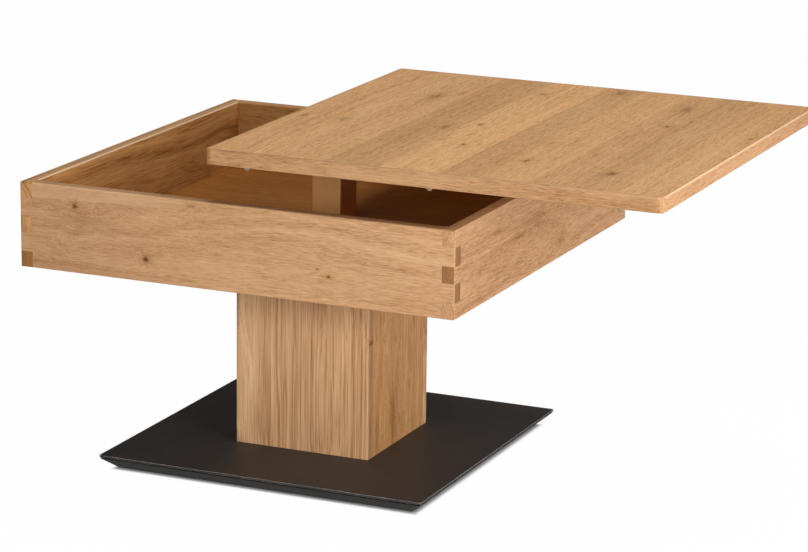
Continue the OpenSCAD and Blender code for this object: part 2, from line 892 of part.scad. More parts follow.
// T-shaped shoe: foot on the arm, neck through the slot of the rail, head in the rail
module slide_shoe() {
    head_top = under_z + rail_h - rail_wall - run_gap;
    difference() {
        union() {
            block(-shoe_l / 2, shoe_l / 2, -shoe_w / 2, shoe_w / 2, arm_top, arm_top + shoe_flange_t);
            block(-shoe_l / 2, shoe_l / 2, -shoe_neck_w / 2, shoe_neck_w / 2, arm_top, head_top);
            block(-shoe_l / 2, shoe_l / 2, -shoe_head_w / 2, shoe_head_w / 2,
                  under_z + rail_wall + run_gap, head_top);
        }
        translate([0, 0, arm_top - cut])
            cylinder(d = shoe_screw_d + 2 * screw_gap, h = shoe_screw_in + screw_gap + cut);
    }
}

module slide_shoes() {
    color(nylon) lifted() for (sy = [-1, 1], x = shoe_x) translate([x, sy * arm_y, 0]) slide_shoe();
}

// Tray
module tray_envelope() {
    translate([0, 0, tray_z]) soft_slab(side, tray_h, tray_edge_r, tray_edge_r);
}

// Heights of the five fingers at a corner, from below
function finger_z(i) = tray_z + ceil(i / 2) * side_finger_h + floor(i / 2) * front_finger_h;

module tray_floor_cutter(gap) {
    reach = inner + floor_groove + gap;
    block(-reach, reach, -reach, reach, floor_z, floor_top);
}

module long_wall() {
    difference() {
        intersection() {
            tray_envelope();
            union() {
                block(-inner, inner, -half, -inner, tray_z, rim_z);
                for (i = [1, 3]) block(-half, half, -half, -inner, finger_z(i), finger_z(i + 1));
            }
        }
        tray_floor_cutter(screw_gap);
    }
}

module cross_wall() {
    difference() {
        intersection() {
            tray_envelope();
            union() {
                block(inner, half, -inner, inner, tray_z, rim_z);
                for (i = [0, 2, 4]) block(inner, half, -half, half, finger_z(i), finger_z(i + 1));
            }
        }
        tray_floor_cutter(screw_gap);
    }
}

module tray_front() {
    color(oak) long_wall();
}

module tray_back() {
    color(oak) mirror([0, 1, 0]) long_wall();
}

module tray_left() {
    color(oak_light) mirror([1, 0, 0]) cross_wall();
}

module tray_right() {
    color(oak_light) cross_wall();
}

module tray_floor() {
    color(oak) difference() {
        tray_floor_cutter(0);
        translate([0, 0, floor_z - cut])
            linear_extrude(floor_t + 2 * cut) rounded_rect(hole_x, hole_y, hole_r);
        flange_screws_at(screw_gap);
        block_screws_top_at(screw_gap);
        lever_bracket_screws_at(screw_gap);
        translate([0, lever_y, floor_z - cut])
            cylinder(d = lever_bolt_d + 2 * screw_gap, h = lever_bolt_in + screw_gap + cut);
    }
}

module floor_collar() {
    color(nylon) difference() {
        union() {
            translate([0, 0, floor_top])
                linear_extrude(collar_t)
                    rounded_rect(hole_x + 2 * collar_rim, hole_y + 2 * collar_rim, collar_r);
            translate([0, 0, floor_top - collar_skirt_h]) linear_extrude(collar_skirt_h)
                rounded_rect(hole_x - 2 * screw_gap, hole_y - 2 * screw_gap, hole_r - screw_gap);
        }
        translate([0, 0, floor_top - collar_skirt_h - cut])
            linear_extrude(collar_skirt_h + collar_t + 2 * cut)
            rounded_rect(post_x + 2 * run_gap, post_y + 2 * run_gap, post_r);
    }
}

// Top
module top_envelope() {
    translate([0, 0, under_z]) soft_slab(side, top_t, top_edge_r, top_corner_r);
}

module rail_screws_at(extra = 0) {
    ceiling = under_z + rail_h - rail_wall;
    first = rail_x0 + stop_in + stop_l + rail_screw_in;
    last = rail_x1 - stop_in - stop_l - rail_screw_in;
    pitch = (last - first) / (rail_screw_n - 1);
    for (sy = [-1, 1], i = [0 : rail_screw_n - 1])
        translate([first + i * pitch, sy * arm_y, 0])
            screw_up(ceiling, under_z + top_t - screw_short,
                     rail_screw_d, rail_screw_head_d, rail_screw_head_h, extra);
}

module rail_outline(w, h) {
    for (sy = [-1, 1]) translate([0, sy * arm_y, 0])
        block(rail_x0, rail_x1, -w / 2, w / 2, under_z, under_z + h);
}

module top_board() {
    core = half - lipping_t;
    color(oak) slid() difference() {
        block(-core, core, -core, core, under_z, under_z + top_t);
        for (sy = [-1, 1]) translate([0, sy * arm_y, 0])
            block(rail_x0, rail_x1, -rail_w / 2, rail_w / 2, under_z - cut, under_z + rail_h);
        rail_screws_at(screw_gap);
    }
}

module lipping_long() {
    intersection() {
        top_envelope();
        block(-half, half, -half, -half + lipping_t, under_z, under_z + top_t);
    }
}

module lipping_cross() {
    intersection() {
        top_envelope();
        block(half - lipping_t, half, -half + lipping_t, half - lipping_t, under_z, under_z + top_t);
    }
}

module top_lipping_front() {
    color(oak_light) slid() lipping_long();
}

module top_lipping_back() {
    color(oak_light) slid() mirror([0, 1, 0]) lipping_long();
}

module top_lipping_left() {
    color(oak_light) slid() mirror([1, 0, 0]) lipping_cross();
}

module top_lipping_right() {
    color(oak_light) slid() lipping_cross();
}

module top_rails() {
    color(zinc) slid() difference() {
        rail_outline(rail_w, rail_h);
        for (sy = [-1, 1]) translate([0, sy * arm_y, 0]) {
            block(rail_x0 - cut, rail_x1 + cut, -rail_w / 2 + rail_wall, rail_w / 2 - rail_wall,
                  under_z + rail_wall, under_z + rail_h - rail_wall);
            block(rail_x0 - cut, rail_x1 + cut, -rail_slot_w / 2, rail_slot_w / 2,
                  under_z - cut, under_z + rail_wall + cut);
        }
        rail_screws_at(screw_gap);
    }
}

module rail_screws() {
    color(steel) slid() rail_screws_at();
}

module rail_stops() {
    color(nylon) slid() for (sy = [-1, 1], x = [rail_x0 + stop_in, rail_x1 - stop_in - stop_l])
        translate([x, sy * arm_y, 0])
            block(0, stop_l, -rail_w / 2 + rail_wall, rail_w / 2 - rail_wall,
                  under_z + rail_wall, under_z + rail_h - rail_wall);
}

module bumpers() {
    color(clear_rubber) slid() for (sy = [-1, 1], x = [-bumper_x, 0, bumper_x])
        translate([x, sy * (half - bumper_in), under_z - bumper_h]) cylinder(d = bumper_d, h = bumper_h);
}

floor_glides();
base_board();
base_cover();
base_bolts();
block_screws_low();
column_front();
column_back();
column_left();
column_right();
corner_blocks();
block_screws_top();
guide_tube_foot();
guide_tube();
guide_tube_flange();
flange_screws();
upper_guide();
release_head();
release_head_screws();
piston_rod();
release_pin();
release_rocker();
rocker_pivot();
cable_sheath();
cable_ferrules();
cable_clips();
wire_end_rocker();
wire_end_lever();
lever_bracket();
lever_bracket_screws();
lever_pivot_bolt();
release_lever();
lever_grip();
lift_post();
lower_guide();
head_plate();
spring_spacer();
gas_spring_cylinder();
rod_guide_seal();
spring_nut();
carriage_arm_front();
carriage_arm_back();
carriage_crossbar();
carriage_bolts();
slide_shoes();
shoe_screws();
tray_front();
tray_back();
tray_left();
tray_right();
tray_floor();
floor_collar();
top_board();
top_lipping_front();
top_lipping_back();
top_lipping_left();
top_lipping_right();
top_rails();
rail_screws();
rail_stops();
bumpers();
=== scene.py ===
"""Height-adjustable coffee table in solid oak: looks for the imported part, in metres."""

from __future__ import annotations

import json
import logging
import math
from collections.abc import Callable
from dataclasses import dataclass, replace
from enum import Enum
from functools import cache, partial

import bmesh
import bpy
from bmesh.types import BMEdge, BMesh, BMFace
from bpy.types import ID, Material, Mesh, Node, NodeSocket, NodeTree, Object, World, bpy_prop_collection
from mathutils import Matrix, Vector

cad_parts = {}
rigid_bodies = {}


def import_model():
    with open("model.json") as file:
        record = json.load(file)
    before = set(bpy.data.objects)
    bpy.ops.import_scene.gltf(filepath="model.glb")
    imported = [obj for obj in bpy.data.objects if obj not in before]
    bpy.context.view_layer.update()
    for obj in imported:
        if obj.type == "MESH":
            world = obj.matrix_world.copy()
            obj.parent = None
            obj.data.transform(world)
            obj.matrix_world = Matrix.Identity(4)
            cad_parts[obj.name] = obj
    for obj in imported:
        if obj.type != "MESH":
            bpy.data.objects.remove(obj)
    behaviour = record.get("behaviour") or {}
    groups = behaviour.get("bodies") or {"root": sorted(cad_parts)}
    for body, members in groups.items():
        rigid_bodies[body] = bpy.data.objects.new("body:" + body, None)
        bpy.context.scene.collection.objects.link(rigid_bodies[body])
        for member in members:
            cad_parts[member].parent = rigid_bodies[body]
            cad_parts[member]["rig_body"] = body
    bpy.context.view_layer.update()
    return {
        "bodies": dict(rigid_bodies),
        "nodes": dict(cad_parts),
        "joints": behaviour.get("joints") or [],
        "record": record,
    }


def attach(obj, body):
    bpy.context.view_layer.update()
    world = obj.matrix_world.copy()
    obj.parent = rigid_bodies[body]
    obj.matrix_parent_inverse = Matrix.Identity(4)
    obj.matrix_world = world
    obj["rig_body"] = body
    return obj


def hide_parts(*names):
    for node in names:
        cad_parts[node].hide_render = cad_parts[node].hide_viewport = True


LOG = logging.getLogger("coffee_table")
MM = 0.001
# Width in pixels of the picture that the camera was fitted to
PICTURE_W = 808
# Vertices nearer to each other than this, in metres, are one
MERGE = 1e-6
# Faces that turn by less than the first lie in one plane, and a sharper edge than the second is an arris
FLAT_DEG, ARRIS_DEG = 0.3, 35.0
# Up to these angles eased boards and repeated pieces are shaded as one skin
EASED_SMOOTH_DEG, REPEATED_SMOOTH_DEG = 24.0, 30.0
# Part of a face's normal towards a direction, from which it is a slope, faces that way, or is level
SLOPE, FACING, LEVEL = 0.2, 0.9, 0.98
# How far a face turns to where a hand pushes the top, and how pale the other arrises of oak are
PUSHED, UNTOUCHED = 0.8, 0.05

# Blender's names for the nodes that are used most
MATH, VECTOR, RANGE = "ShaderNodeMath", "ShaderNodeVectorMath", "ShaderNodeMapRange"
NOISE, SPLIT, JOIN = "ShaderNodeTexNoise", "ShaderNodeSeparateXYZ", "ShaderNodeCombineXYZ"
# Sockets that are set together: the two spans of a range, and the character of a noise
SPANS, CHARACTER = ("From Min", "From Max", "To Min", "To Max"), ("Scale", "Detail", "Roughness")

# What may feed a socket, and a call that adds a node to one tree
Feed = Node | NodeSocket
Adder = Callable[..., Node]


class Axis(Enum):
    """One axis of the table's frame."""

    X = 0
    Y = 1
    Z = 2


class Way(Enum):
    """Which way a screw points."""

    UP = 1
    DOWN = -1


def linear(colour: str) -> tuple[float, float, float, float]:
    """Turn an sRGB hex colour into linear light.

    Args:
        colour: the colour as #RRGGBB.

    Returns:
        Red, green, blue and an alpha of 1.
    """
    parts = [int(colour[i : i + 2], 16) / 255 for i in (1, 3, 5)]
    lin = [p / 12.92 if p <= 0.04045 else ((p + 0.055) / 1.055) ** 2.4 for p in parts]
    return (lin[0], lin[1], lin[2], 1.0)


def add_node(tree: NodeTree, kind: str, inputs: dict | None = None, operation: str = "", **settings) -> Node:
    """Add one node with its settings and links.

    Args:
        tree: the tree it goes into.
        kind: Blender's name for the node.
        inputs: socket name or number, with its value, the output or node that feeds it, or a list of these. A
            tuple of sockets goes with a tuple of as many values, or fewer.
        operation: what it does, if it is one of the nodes that have a choice.
        settings: the node's other properties.

    Returns:
        The new node, whose first output is meant where the node itself feeds another.
    """
    node = tree.nodes.new(kind)
    if operation:
        node.operation = operation
    for name, value in settings.items():
        setattr(node, name, value)
    for keys, values in (inputs or {}).items():
        for key, value in zip(keys, values) if isinstance(keys, tuple) else [(keys, values)]:
            for feed in value if isinstance(value, list) else [value]:
                if isinstance(feed, Node):
                    feed = feed.outputs[0]
                if isinstance(feed, NodeSocket):
                    tree.links.new(feed, node.inputs[key])
                else:
                    node.inputs[key].default_value = feed
    return node


def emptied(owner: Material | World) -> Adder:
    """Empty the node tree of a material or world.

    Args:
        owner: the material or world.

    Returns:
        The call that adds a node to its tree.
    """
    owner.use_nodes = True
    owner.node_tree.nodes.clear()
    return partial(add_node, owner.node_tree)


def begin(name: str) -> tuple[Material, Adder, bpy_prop_collection]:
    """Start a material.

    Args:
        name: the material's name.

    Returns:
        The material, the call that adds a node to it, and its texture coordinates by name.
    """
    material = bpy.data.materials.new(name)
    add = emptied(material)
    return material, add, add("ShaderNodeTexCoord").outputs


def close(
    add: Adder, colour: Feed, pattern: Feed, rough: tuple[float, float], relief: dict | None,
    span: tuple[float, float] = (0.3, 0.7), **sockets: float,
) -> None:
    """End a material with its shader.

    Args:
        add: adds a node to the material.
        colour: its colour.
        pattern: what its roughness follows.
        rough: its middle roughness, and how far that rises with the pattern.
        relief: sockets of its bump, or None.
        span: lowest and highest value of the pattern.
        sockets: plain values for the shader's own sockets, with _ for a space.
    """
    ends = (*span, rough[0] - rough[1], rough[0] + rough[1])
    feeds = {"Base Color": colour, "Roughness": add(RANGE, {"Value": pattern, SPANS: ends})}
    feeds |= {name.replace("_", " "): value for name, value in sockets.items()}
    if relief:
        feeds["Normal"] = add("ShaderNodeBump", relief)
    add("ShaderNodeOutputMaterial", {"Surface": add("ShaderNodeBsdfPrincipled", feeds)})


# Finishes


@dataclass(frozen=True)
class Knot:
    """A knot or a dark flame in a board, in millimetres of the table's frame."""

    across: float
    along: float
    size: float
    dark: float = 1.0
    stretch: float = 1.6


def tint(add: Adder, colour: Feed | tuple, other: str, mask: Feed, share: float) -> NodeSocket:
    """Blend a colour towards another where a mask is white.

    Args:
        add: adds a node to the material.
        colour: the colour so far.
        other: the other colour as sRGB hex.
        mask: where it goes, from 0 to 1.
        share: how much of it goes on where the mask is 1.

    Returns:
        The blended colour.
    """
    amount = add(MATH, {0: mask, 1: share}, "MULTIPLY", use_clamp=True)
    return add("ShaderNodeMix", {"Factor": amount, 6: colour, 7: linear(other)}, data_type="RGBA").outputs[2]


def streaks(add: Adder, wood: Feed, size_mm: tuple[float, float], detail: float, reach: float = 1.0) -> Node:
    """Draw noise out along the grain.

    Args:
        add: adds a node to the material.
        wood: place in the board, with the grain along its third number.
        size_mm: width and length of a streak.
        detail: how many finer octaves go on top.
        reach: how much longer than usual the streaks are.

    Returns:
        A value round 0.5.
    """
    thin = 1 / (size_mm[0] * MM)
    drawn = add(VECTOR, {0: wood, 1: (thin, thin, 1 / (size_mm[1] * reach * MM))}, "MULTIPLY")
    return add(NOISE, {"Vector": drawn, CHARACTER: (1.0, detail, 0.55)})


# Width and length in millimetres of the bends, clouds, bundles, fibres and pores that show in a board.
# Pores are about 0.3 mm wide; drawn 1 mm wide, so that they show
BEND_MM, CLOUD_MM, BUNDLE_MM, FIBRE_MM, PORE_MM = (150, 600), (38, 420), (7.0, 160), (1.3, 24), (1.2, 13)
# Growth rings are 3 to 8 mm wide, and bend this far, in metres, along a log
RING_MM, SWAY = 6, 0.035
# Steps in the log, in metres, from one seed to the next, and the longest from one stave to another
SEED_STEP, STAVE_STEP = (0.37, 0.21, 1.7), (0.3, 0.07, 9.0)


@dataclass(frozen=True)
class SolidOak:
    """Wild European oak, planed, brushed and oiled: matt, with open pores and lively figure."""

    name: str
    grain: Axis
    face: Axis
    seed: float
    pith: tuple[float, float] = (0.0, -120.0)
    joints: tuple[float, ...] = ()
    stave_tones: tuple[float, ...] = ()
    strip: tuple[float, ...] = ()
    strip_tone: str = "#E1B78C"
    tone: float = 1.0
    figure: float = 1.0
    fibre: float = 1.0
    pores: float = 0.6
    clouds: float = 1.0
    reach: float = 1.0
    knots: tuple[Knot, ...] = ()
    # Light, middle and dark wood
    tones: tuple[str, str, str] = ("#E1B78C", "#C8996E", "#926337")
    pore: str = "#875830"
    knot: str = "#5A3618"
    halo: str = "#A16E3B"
    end: str = "#875930"
    arris: str = "#F6D9B4"
    pore_depth_mm: float = 0.12
    rough: tuple[float, float] = (0.57, -0.07)
    strip_share: float = 0.5
    knot_share: float = 0.9
    halo_share: float = 0.6
    end_share: float = 0.72
    arris_share: float = 0.45

    def build(self) -> Material:
        """Build the material.

        Returns:
            Oak that is cut from one place of a log, so that every face of a board agrees.
        """
        material, add, place = begin(self.name)
        split = add(SPLIT, {0: place["Object"]}).outputs
        thick = ({0, 1, 2} - {self.grain.value, self.face.value}).pop()
        along, across, depth = split[self.grain.value], split[self.face.value], split[thick]
        wood, tone = add(JOIN, {0: across, 1: depth, 2: along}), self.tone
        start = tuple(self.seed * step for step in SEED_STEP)
        if self.stave_tones:
            wood, tone = self.staves(add, across, wood)
        # Rings bend slowly along the log, and more near a knot
        bend = add(VECTOR, {0: wood, 1: start}, "ADD")
        wander = streaks(add, bend, BEND_MM, 2.0)
        sway = add(MATH, {0: wander, 1: SWAY, 2: -SWAY / 2}, "MULTIPLY_ADD")
        if self.knots:
            swell, heart, halo = self.knotted(add, across, along)
            sway = add(MATH, {0: sway, 1: swell}, "ADD")
        bent = add(VECTOR, {0: bend, 1: add(JOIN, {0: sway, 1: sway})}, "ADD")
        centre = (-self.pith[0] * MM - start[0], -self.pith[1] * MM - start[1], 0.0)
        radial = add(VECTOR, {0: bent, 1: centre}, "ADD")
        radial = add(VECTOR, {0: radial, 1: (1.0, 1.0, 0.0)}, "MULTIPLY")
        radius = add(VECTOR, {0: radial}, "LENGTH").outputs["Value"]
        ring = {"W": radius, CHARACTER: (1 / (RING_MM * MM), 3.0, 0.65)}
        band = add(NOISE, ring, noise_dimensions="1D")
        fibre = streaks(add, bent, FIBRE_MM, 4.0, self.reach)
        bundle = streaks(add, bent, BUNDLE_MM, 3.0, self.reach)
        cloud = streaks(add, bend, CLOUD_MM, 2.0)
        parts = ((band, 0.36 * self.figure), (fibre, self.fibre), (bundle, 0.18), (cloud, 0.34 * self.clouds))
        # Noise lies round 0.5, and so does what is mixed from it
        mixed = 0.5 - 0.5 * sum(weight for _, weight in parts)
        for value, weight in parts:
            mixed = add(MATH, {0: value, 1: weight, 2: mixed}, "MULTIPLY_ADD")
        dots = {"Value": streaks(add, bent, PORE_MM, 1.0, self.reach), SPANS: (0.56, 0.7)}
        porous = add(RANGE, {"Value": band, SPANS: (0.6, 0.4, 0.3, 1.0)})
        pores = add(MATH, {0: add(RANGE, dots, interpolation_type="SMOOTHSTEP"), 1: porous}, "MULTIPLY")
        scale = add("ShaderNodeValToRGB", {0: mixed})
        stops = scale.color_ramp.elements
        light, middle, dark = (linear(shade) for shade in self.tones)
        stops[0].position, stops[0].color = 0.1, dark
        stops[1].position, stops[1].color = 0.9, light
        stops.new(0.5).color = middle
        colour = tint(add, scale, self.pore, pores, self.pores)
        if self.strip:
            colour = tint(add, colour, self.strip_tone, self.stripped(add, across, along), self.strip_share)
        if self.knots:
            colour = tint(add, colour, self.halo, halo, self.halo_share)
            colour = tint(add, colour, self.knot, heart, self.knot_share)
        # End grain drinks more oil and is darker
        facing = add(MATH, {0: add(SPLIT, {0: place["Normal"]}).outputs[self.grain.value]}, "ABSOLUTE")
        cut = add(RANGE, {"Value": facing, SPANS: (0.75, 0.92)}, interpolation_type="SMOOTHSTEP")
        oil = add("ShaderNodeAttribute", attribute_name="oil").outputs["Fac"]
        cut = add(MATH, {0: cut, 1: oil}, "ADD", use_clamp=True)
        colour = tint(add, colour, self.end, cut, self.end_share)
        arris = add("ShaderNodeAttribute", attribute_name="arris").outputs["Fac"]
        colour = tint(add, colour, self.arris, arris, self.arris_share)
        colour = add("ShaderNodeHueSaturation", {"Value": tone, "Color": colour})
        height = add(MATH, {0: pores, 1: -1.0, 2: fibre}, "MULTIPLY_ADD")
        relief = {"Strength": 0.5, "Distance": self.pore_depth_mm * MM, "Height": height}
        close(add, colour, mixed, self.rough, relief, (0.1, 0.9), IOR=1.5, Specular_IOR_Level=0.13)
        return material

    def staves(self, add: Adder, across: Feed, plain: Feed) -> tuple[Node, Node]:
        """Cut each glued stave from another place of the log.

        Args:
            add: adds a node to the material.
            across: place across the staves.
            plain: place in the board.

        Returns:
            The place in the log, and the tone of the stave.
        """
        first, last, count = self.joints[0], self.joints[-1], len(self.stave_tones)
        spread = add(RANGE, {"Value": across, SPANS: (first * MM, last * MM)})
        steps = add("ShaderNodeValToRGB", {0: spread})
        stops = steps.color_ramp.elements
        steps.color_ramp.interpolation = "CONSTANT"
        stops.remove(stops[1])
        for i, (joint, tone) in enumerate(zip(self.joints, self.stave_tones)):
            stop = stops[0] if i == 0 else stops.new((joint - first) / (last - first))
            # Red holds half the stave's tone and green its number
            stop.color = (tone / 2, (i + 0.5) / count, 0.0, 1.0)
        read = add("ShaderNodeSeparateColor", {0: steps}).outputs
        number = add(MATH, {0: read[1], 1: float(count), 2: self.seed}, "MULTIPLY_ADD")
        draw = add("ShaderNodeTexWhiteNoise", {"W": number}, noise_dimensions="1D").outputs["Color"]
        jump = add(VECTOR, {0: draw, 1: STAVE_STEP}, "MULTIPLY")
        placed = add(VECTOR, {0: plain, 1: jump}, "ADD")
        return placed, add(MATH, {0: read[0], 1: 2.0}, "MULTIPLY")

    def stripped(self, add: Adder, across: Feed, along: Feed) -> Node:
        """Mask the strip of other wood, such as sapwood, along one edge of the board.

        Args:
            add: adds a node to the material.
            across: place across the grain on the face.
            along: place along the grain.

        Returns:
            The mask, which fades out towards the strip's end.
        """
        start, stop, low, high = (v * MM for v in self.strip)
        edge = add(RANGE, {"Value": along, SPANS: (start, stop, low, high)})
        over = add(MATH, {0: across, 1: edge}, "SUBTRACT")
        inside = add(RANGE, {"Value": over, SPANS: (-MM, MM)})
        thins = start + 0.6 * (stop - start)
        fade = add(RANGE, {"Value": along, SPANS: (thins, stop, 1.0, 0.0)})
        return add(MATH, {0: inside, 1: fade}, "MULTIPLY")

    def knotted(self, add: Adder, across: Feed, along: Feed) -> list[Node]:
        """Mask the knots.

        Args:
            add: adds a node to the material.
            across: place across the grain on the face.
            along: place along the grain.

        Returns:
            How far the fibres bend round the knots, the mask of their hearts and that of their halos.
        """
        flat = add(JOIN, {0: across, 1: along})
        # A knot's edge frays every 4 mm or so
        rag = add(NOISE, {"Vector": flat, CHARACTER: (260.0, 3.0, 0.6)})
        joined = []
        for knot in self.knots:
            shrink = (1 / (knot.size * MM), 1 / (knot.size * knot.stretch * MM), 0.0)
            off = add(VECTOR, {0: flat, 1: (-knot.across * MM, -knot.along * MM, 0.0)}, "ADD")
            off = add(VECTOR, {0: off, 1: shrink}, "MULTIPLY")
            away = add(VECTOR, {0: off}, "LENGTH").outputs["Value"]
            # Checks run out of a knot as the rays of a star
            ray = add(VECTOR, {0: off}, "NORMALIZE")
            ray = add(VECTOR, {0: ray, 1: (knot.along, knot.across, 0.0)}, "ADD")
            star = add(NOISE, {"Vector": ray, "Scale": 2.6, "Detail": 2.0})
            star = add(RANGE, {"Value": star, SPANS: (0.3, 0.7, 0.5, 1.7)})
            away = add(MATH, {0: away, 1: star}, "MULTIPLY")
            away = add(MATH, {0: rag, 1: 1.6, 2: away}, "MULTIPLY_ADD")
            # Where each mask starts and is full, in sizes of the knot, and its highest value
            reaches = ((5.0, 1.0, knot.size * MM * 0.6), (1.7, 1.2, knot.dark), (3.6, 1.2, knot.dark))
            row = []
            for far, near, top in reaches:
                fall = {"Value": away, SPANS: (far, near, 0.0, top)}
                row.append(add(RANGE, fall, interpolation_type="SMOOTHSTEP"))
            pairs = zip(joined, row)
            joined = [add(MATH, {0: a, 1: b}, "MAXIMUM") for a, b in pairs] if joined else row
        return joined


@dataclass(frozen=True)
class Coated:
    """Powder coat, lacquer or moulded plastic: one colour with a fine skin texture."""

    name: str
    colour: str
    edge: str
    rough: float
    skin_mm: float
    skin_depth_mm: float
    cloud: float = 0.12
    ior: float = 1.5
    level: float = 0.5
    # Clouds of tone to the metre
    clouds: float = 14.0
    spread: float = 0.05
    worn_share: float = 1.8

    def build(self) -> Material:
        """Build the material.

        Returns:
            A coat with orange peel or spark texture, soft clouds of tone and rubbed arrises.
        """
        material, add, place = begin(self.name)
        cloud = add(NOISE, {"Vector": place["Object"], CHARACTER: (self.clouds, 4.0, 0.6)})
        grain = {"Vector": place["Object"], CHARACTER: (1 / (self.skin_mm * MM), 2.0, 0.5)}
        skin = add(NOISE, grain)
        arris = add("ShaderNodeAttribute", attribute_name="arris").outputs["Fac"]
        worn = add(MATH, {0: arris, 1: cloud}, "MULTIPLY")
        low, high = 1 - self.cloud, 1 + self.cloud
        value = add(RANGE, {"Value": cloud, SPANS: (0.3, 0.7, low, high)})
        base = add("ShaderNodeHueSaturation", {"Value": value, "Color": linear(self.colour)})
        colour = tint(add, base, self.edge, worn, self.worn_share)
        relief = {"Strength": 0.6, "Distance": self.skin_depth_mm * MM, "Height": skin}
        close(add, colour, skin, (self.rough, self.spread), relief, IOR=self.ior, Specular_IOR_Level=self.level)
        return material


@dataclass(frozen=True)
class Metal:
    """Bare, plated or anodised metal, with drawing or grinding lines along one axis."""

    name: str
    colour: str
    other: str
    rough: float
    lines: Axis
    line_mm: float = 0.35
    depth_mm: float = 0.01
    stain: float = 0.3
    # Stains, and changes along a line, to the metre
    stains: float = 25.0
    changes: float = 8.0
    spread: float = 0.06

    def build(self) -> Material:
        """Build the material.

        Returns:
            Metal whose lines run along the piece and whose sheen varies a little.
        """
        material, add, place = begin(self.name)
        scale = [1 / (self.line_mm * MM)] * 3
        scale[self.lines.value] = self.changes
        drawn = add(VECTOR, {0: place["Object"], 1: tuple(scale)}, "MULTIPLY")
        lines = add(NOISE, {"Vector": drawn, CHARACTER: (1.0, 2.0, 0.5)})
        cloud = add(NOISE, {"Vector": place["Object"], CHARACTER: (self.stains, 4.0, 0.6)})
        share = add(RANGE, {"Value": cloud, SPANS: (0.35, 0.7, 0.0, self.stain)})
        colour = tint(add, linear(self.colour), self.other, share, 1.0)
        relief = {"Strength": 0.5, "Distance": self.depth_mm * MM, "Height": lines}
        close(add, colour, lines, (self.rough, self.spread), relief, Metallic=1.0)
        return material


@dataclass(frozen=True)
class ClearPolyurethane:
    """Cast clear polyurethane: soft, faintly yellow, with dust on its skin."""

    name: str = "clear_polyurethane"
    colour: str = "#D6CDB4"
    dusty: str = "#D8D2BC"
    # Specks of dust to the metre, and how much they show
    specks: float = 900.0
    dust_share: float = 0.5
    rough: tuple[float, float] = (0.21, 0.09)

    def build(self) -> Material:
        """Build the material.

        Returns:
            A clear rubber that catches light on its dome.
        """
        material, add, place = begin(self.name)
        dust = add(NOISE, {"Vector": place["Object"], CHARACTER: (self.specks, 3.0, 0.6)})
        colour = tint(add, linear(self.colour), self.dusty, dust, self.dust_share)
        close(add, colour, dust, self.rough, None, IOR=1.49, Transmission_Weight=0.75)
        return material


Finish = SolidOak | Coated | Metal | ClearPolyurethane


@cache
def made(finish: Finish) -> Material:
    """Build a finish once and hand it out."""
    return finish.build()


# Fine powder coat: a soft sheen, and a pale line where the arris is rubbed
POWDER_BLACK = Coated("black_powder_coat", "#33302E", "#F0EEEA", 0.55, 0.8, 0.03)
# Lacquer on board: smoother and warmer than the coat above it
LACQUER_BLACK = Coated("black_lacquered_board", "#2A2724", "#97928A", 0.42, 2.0, 0.02)
# Coated steel: deep and even, grey where it is rubbed
STEEL_BLACK = Coated("black_coated_steel", "#1D1C1B", "#5A5856", 0.45, 0.8, 0.03)
# Moulded nylon: a fine spark texture that dulls the black
NYLON_BLACK = Coated("moulded_black_nylon", "#19191A", "#2E2E30", 0.48, 0.35, 0.015, 0.08, 1.53)
GLIDE_GREY = Coated("moulded_glide_plastic", "#2B2B2D", "#48484B", 0.5, 0.35, 0.015, 0.08, 1.49)
# Zinc plate: cool grey with cloudy stains
ZINC = Metal("zinc_plated_steel", "#B9BCBE", "#9FA39B", 0.34, Axis.Z)
# Satin steel in champagne: warm and even, its lines too fine to see
POST_STEEL = Metal("champagne_satin_steel", "#F4C184", "#ECB676", 0.48, Axis.Z, 2.5, 0.0001, 0.3)
# Ground steel: bright, with fine lines along the rod
BRIGHT_STEEL = Metal("ground_bright_steel", "#C4C3C0", "#A9A8A5", 0.2, Axis.Z, 0.3, 0.006)
# Anodised aluminium: pale and matt, with drawing lines along the rail
RAIL_ALU = Metal("anodised_aluminium", "#B8B9BB", "#AAABAE", 0.36, Axis.X, 0.6, 0.01)
# Cast polyurethane: clear, with one glint on each dome
CLEAR = ClearPolyurethane()
# Steamed beech: plain and even, with short fibres
BEECH = SolidOak(
    "steamed_beech_block", Axis.Z, Axis.X, 61.0, (40.0, -60.0), figure=0.5,
    tones=("#DCB893", "#CFA57C", "#B98A60"), pore="#A3744B", end="#A67A50",
)
# Oiled oak, board by board: warm and matt, with the photographed knots and staves
OAK_FRONT = SolidOak(
    "oak_front_wall", Axis.X, Axis.Z, 3.0, (372.0, -420.0), figure=0.8, fibre=0.85, pores=0.5,
    strip=(-340.0, -30.0, 437.0, 447.0), strip_tone="#E0B488",
    knots=(
        Knot(431, -257, 5.2, 0.9, 1), Knot(364, -140, 6, 0.95, 1), Knot(381, 137, 1.6, 0.9, 1.6),
        Knot(371, 155, 1.8, 1, 3), Knot(452, -65, 4, 0.4, 2.5), Knot(412, -240, 13, 0.2, 6),
    ),
)
OAK_BACK = SolidOak(
    "oak_back_wall", Axis.X, Axis.Z, 7.0, (400.0, 420.0), knots=(Knot(385, 60, 4), Knot(420, -190, 3)),
    tones=("#D6A468", "#BF8B53", "#875628"),
)
OAK_LEFT = SolidOak(
    "oak_left_wall", Axis.Y, Axis.Z, 11.0, (372.0, -480.0), figure=2.4, clouds=1.8, fibre=1.4, reach=2.5,
    tones=("#D39C64", "#BB834A", "#7A4318"),
)
OAK_RIGHT = SolidOak(
    "oak_right_wall", Axis.Y, Axis.Z, 17.0, (372.0, 450.0), fibre=1.25, tone=1.02,
    knots=(
        Knot(400, -110, 4, 0.5, 6), Knot(412, -40, 13, 0.25, 5), Knot(357, 60, 5, 0.35, 1.6),
        Knot(424, -190, 5, 0.3, 6),
    ),
)
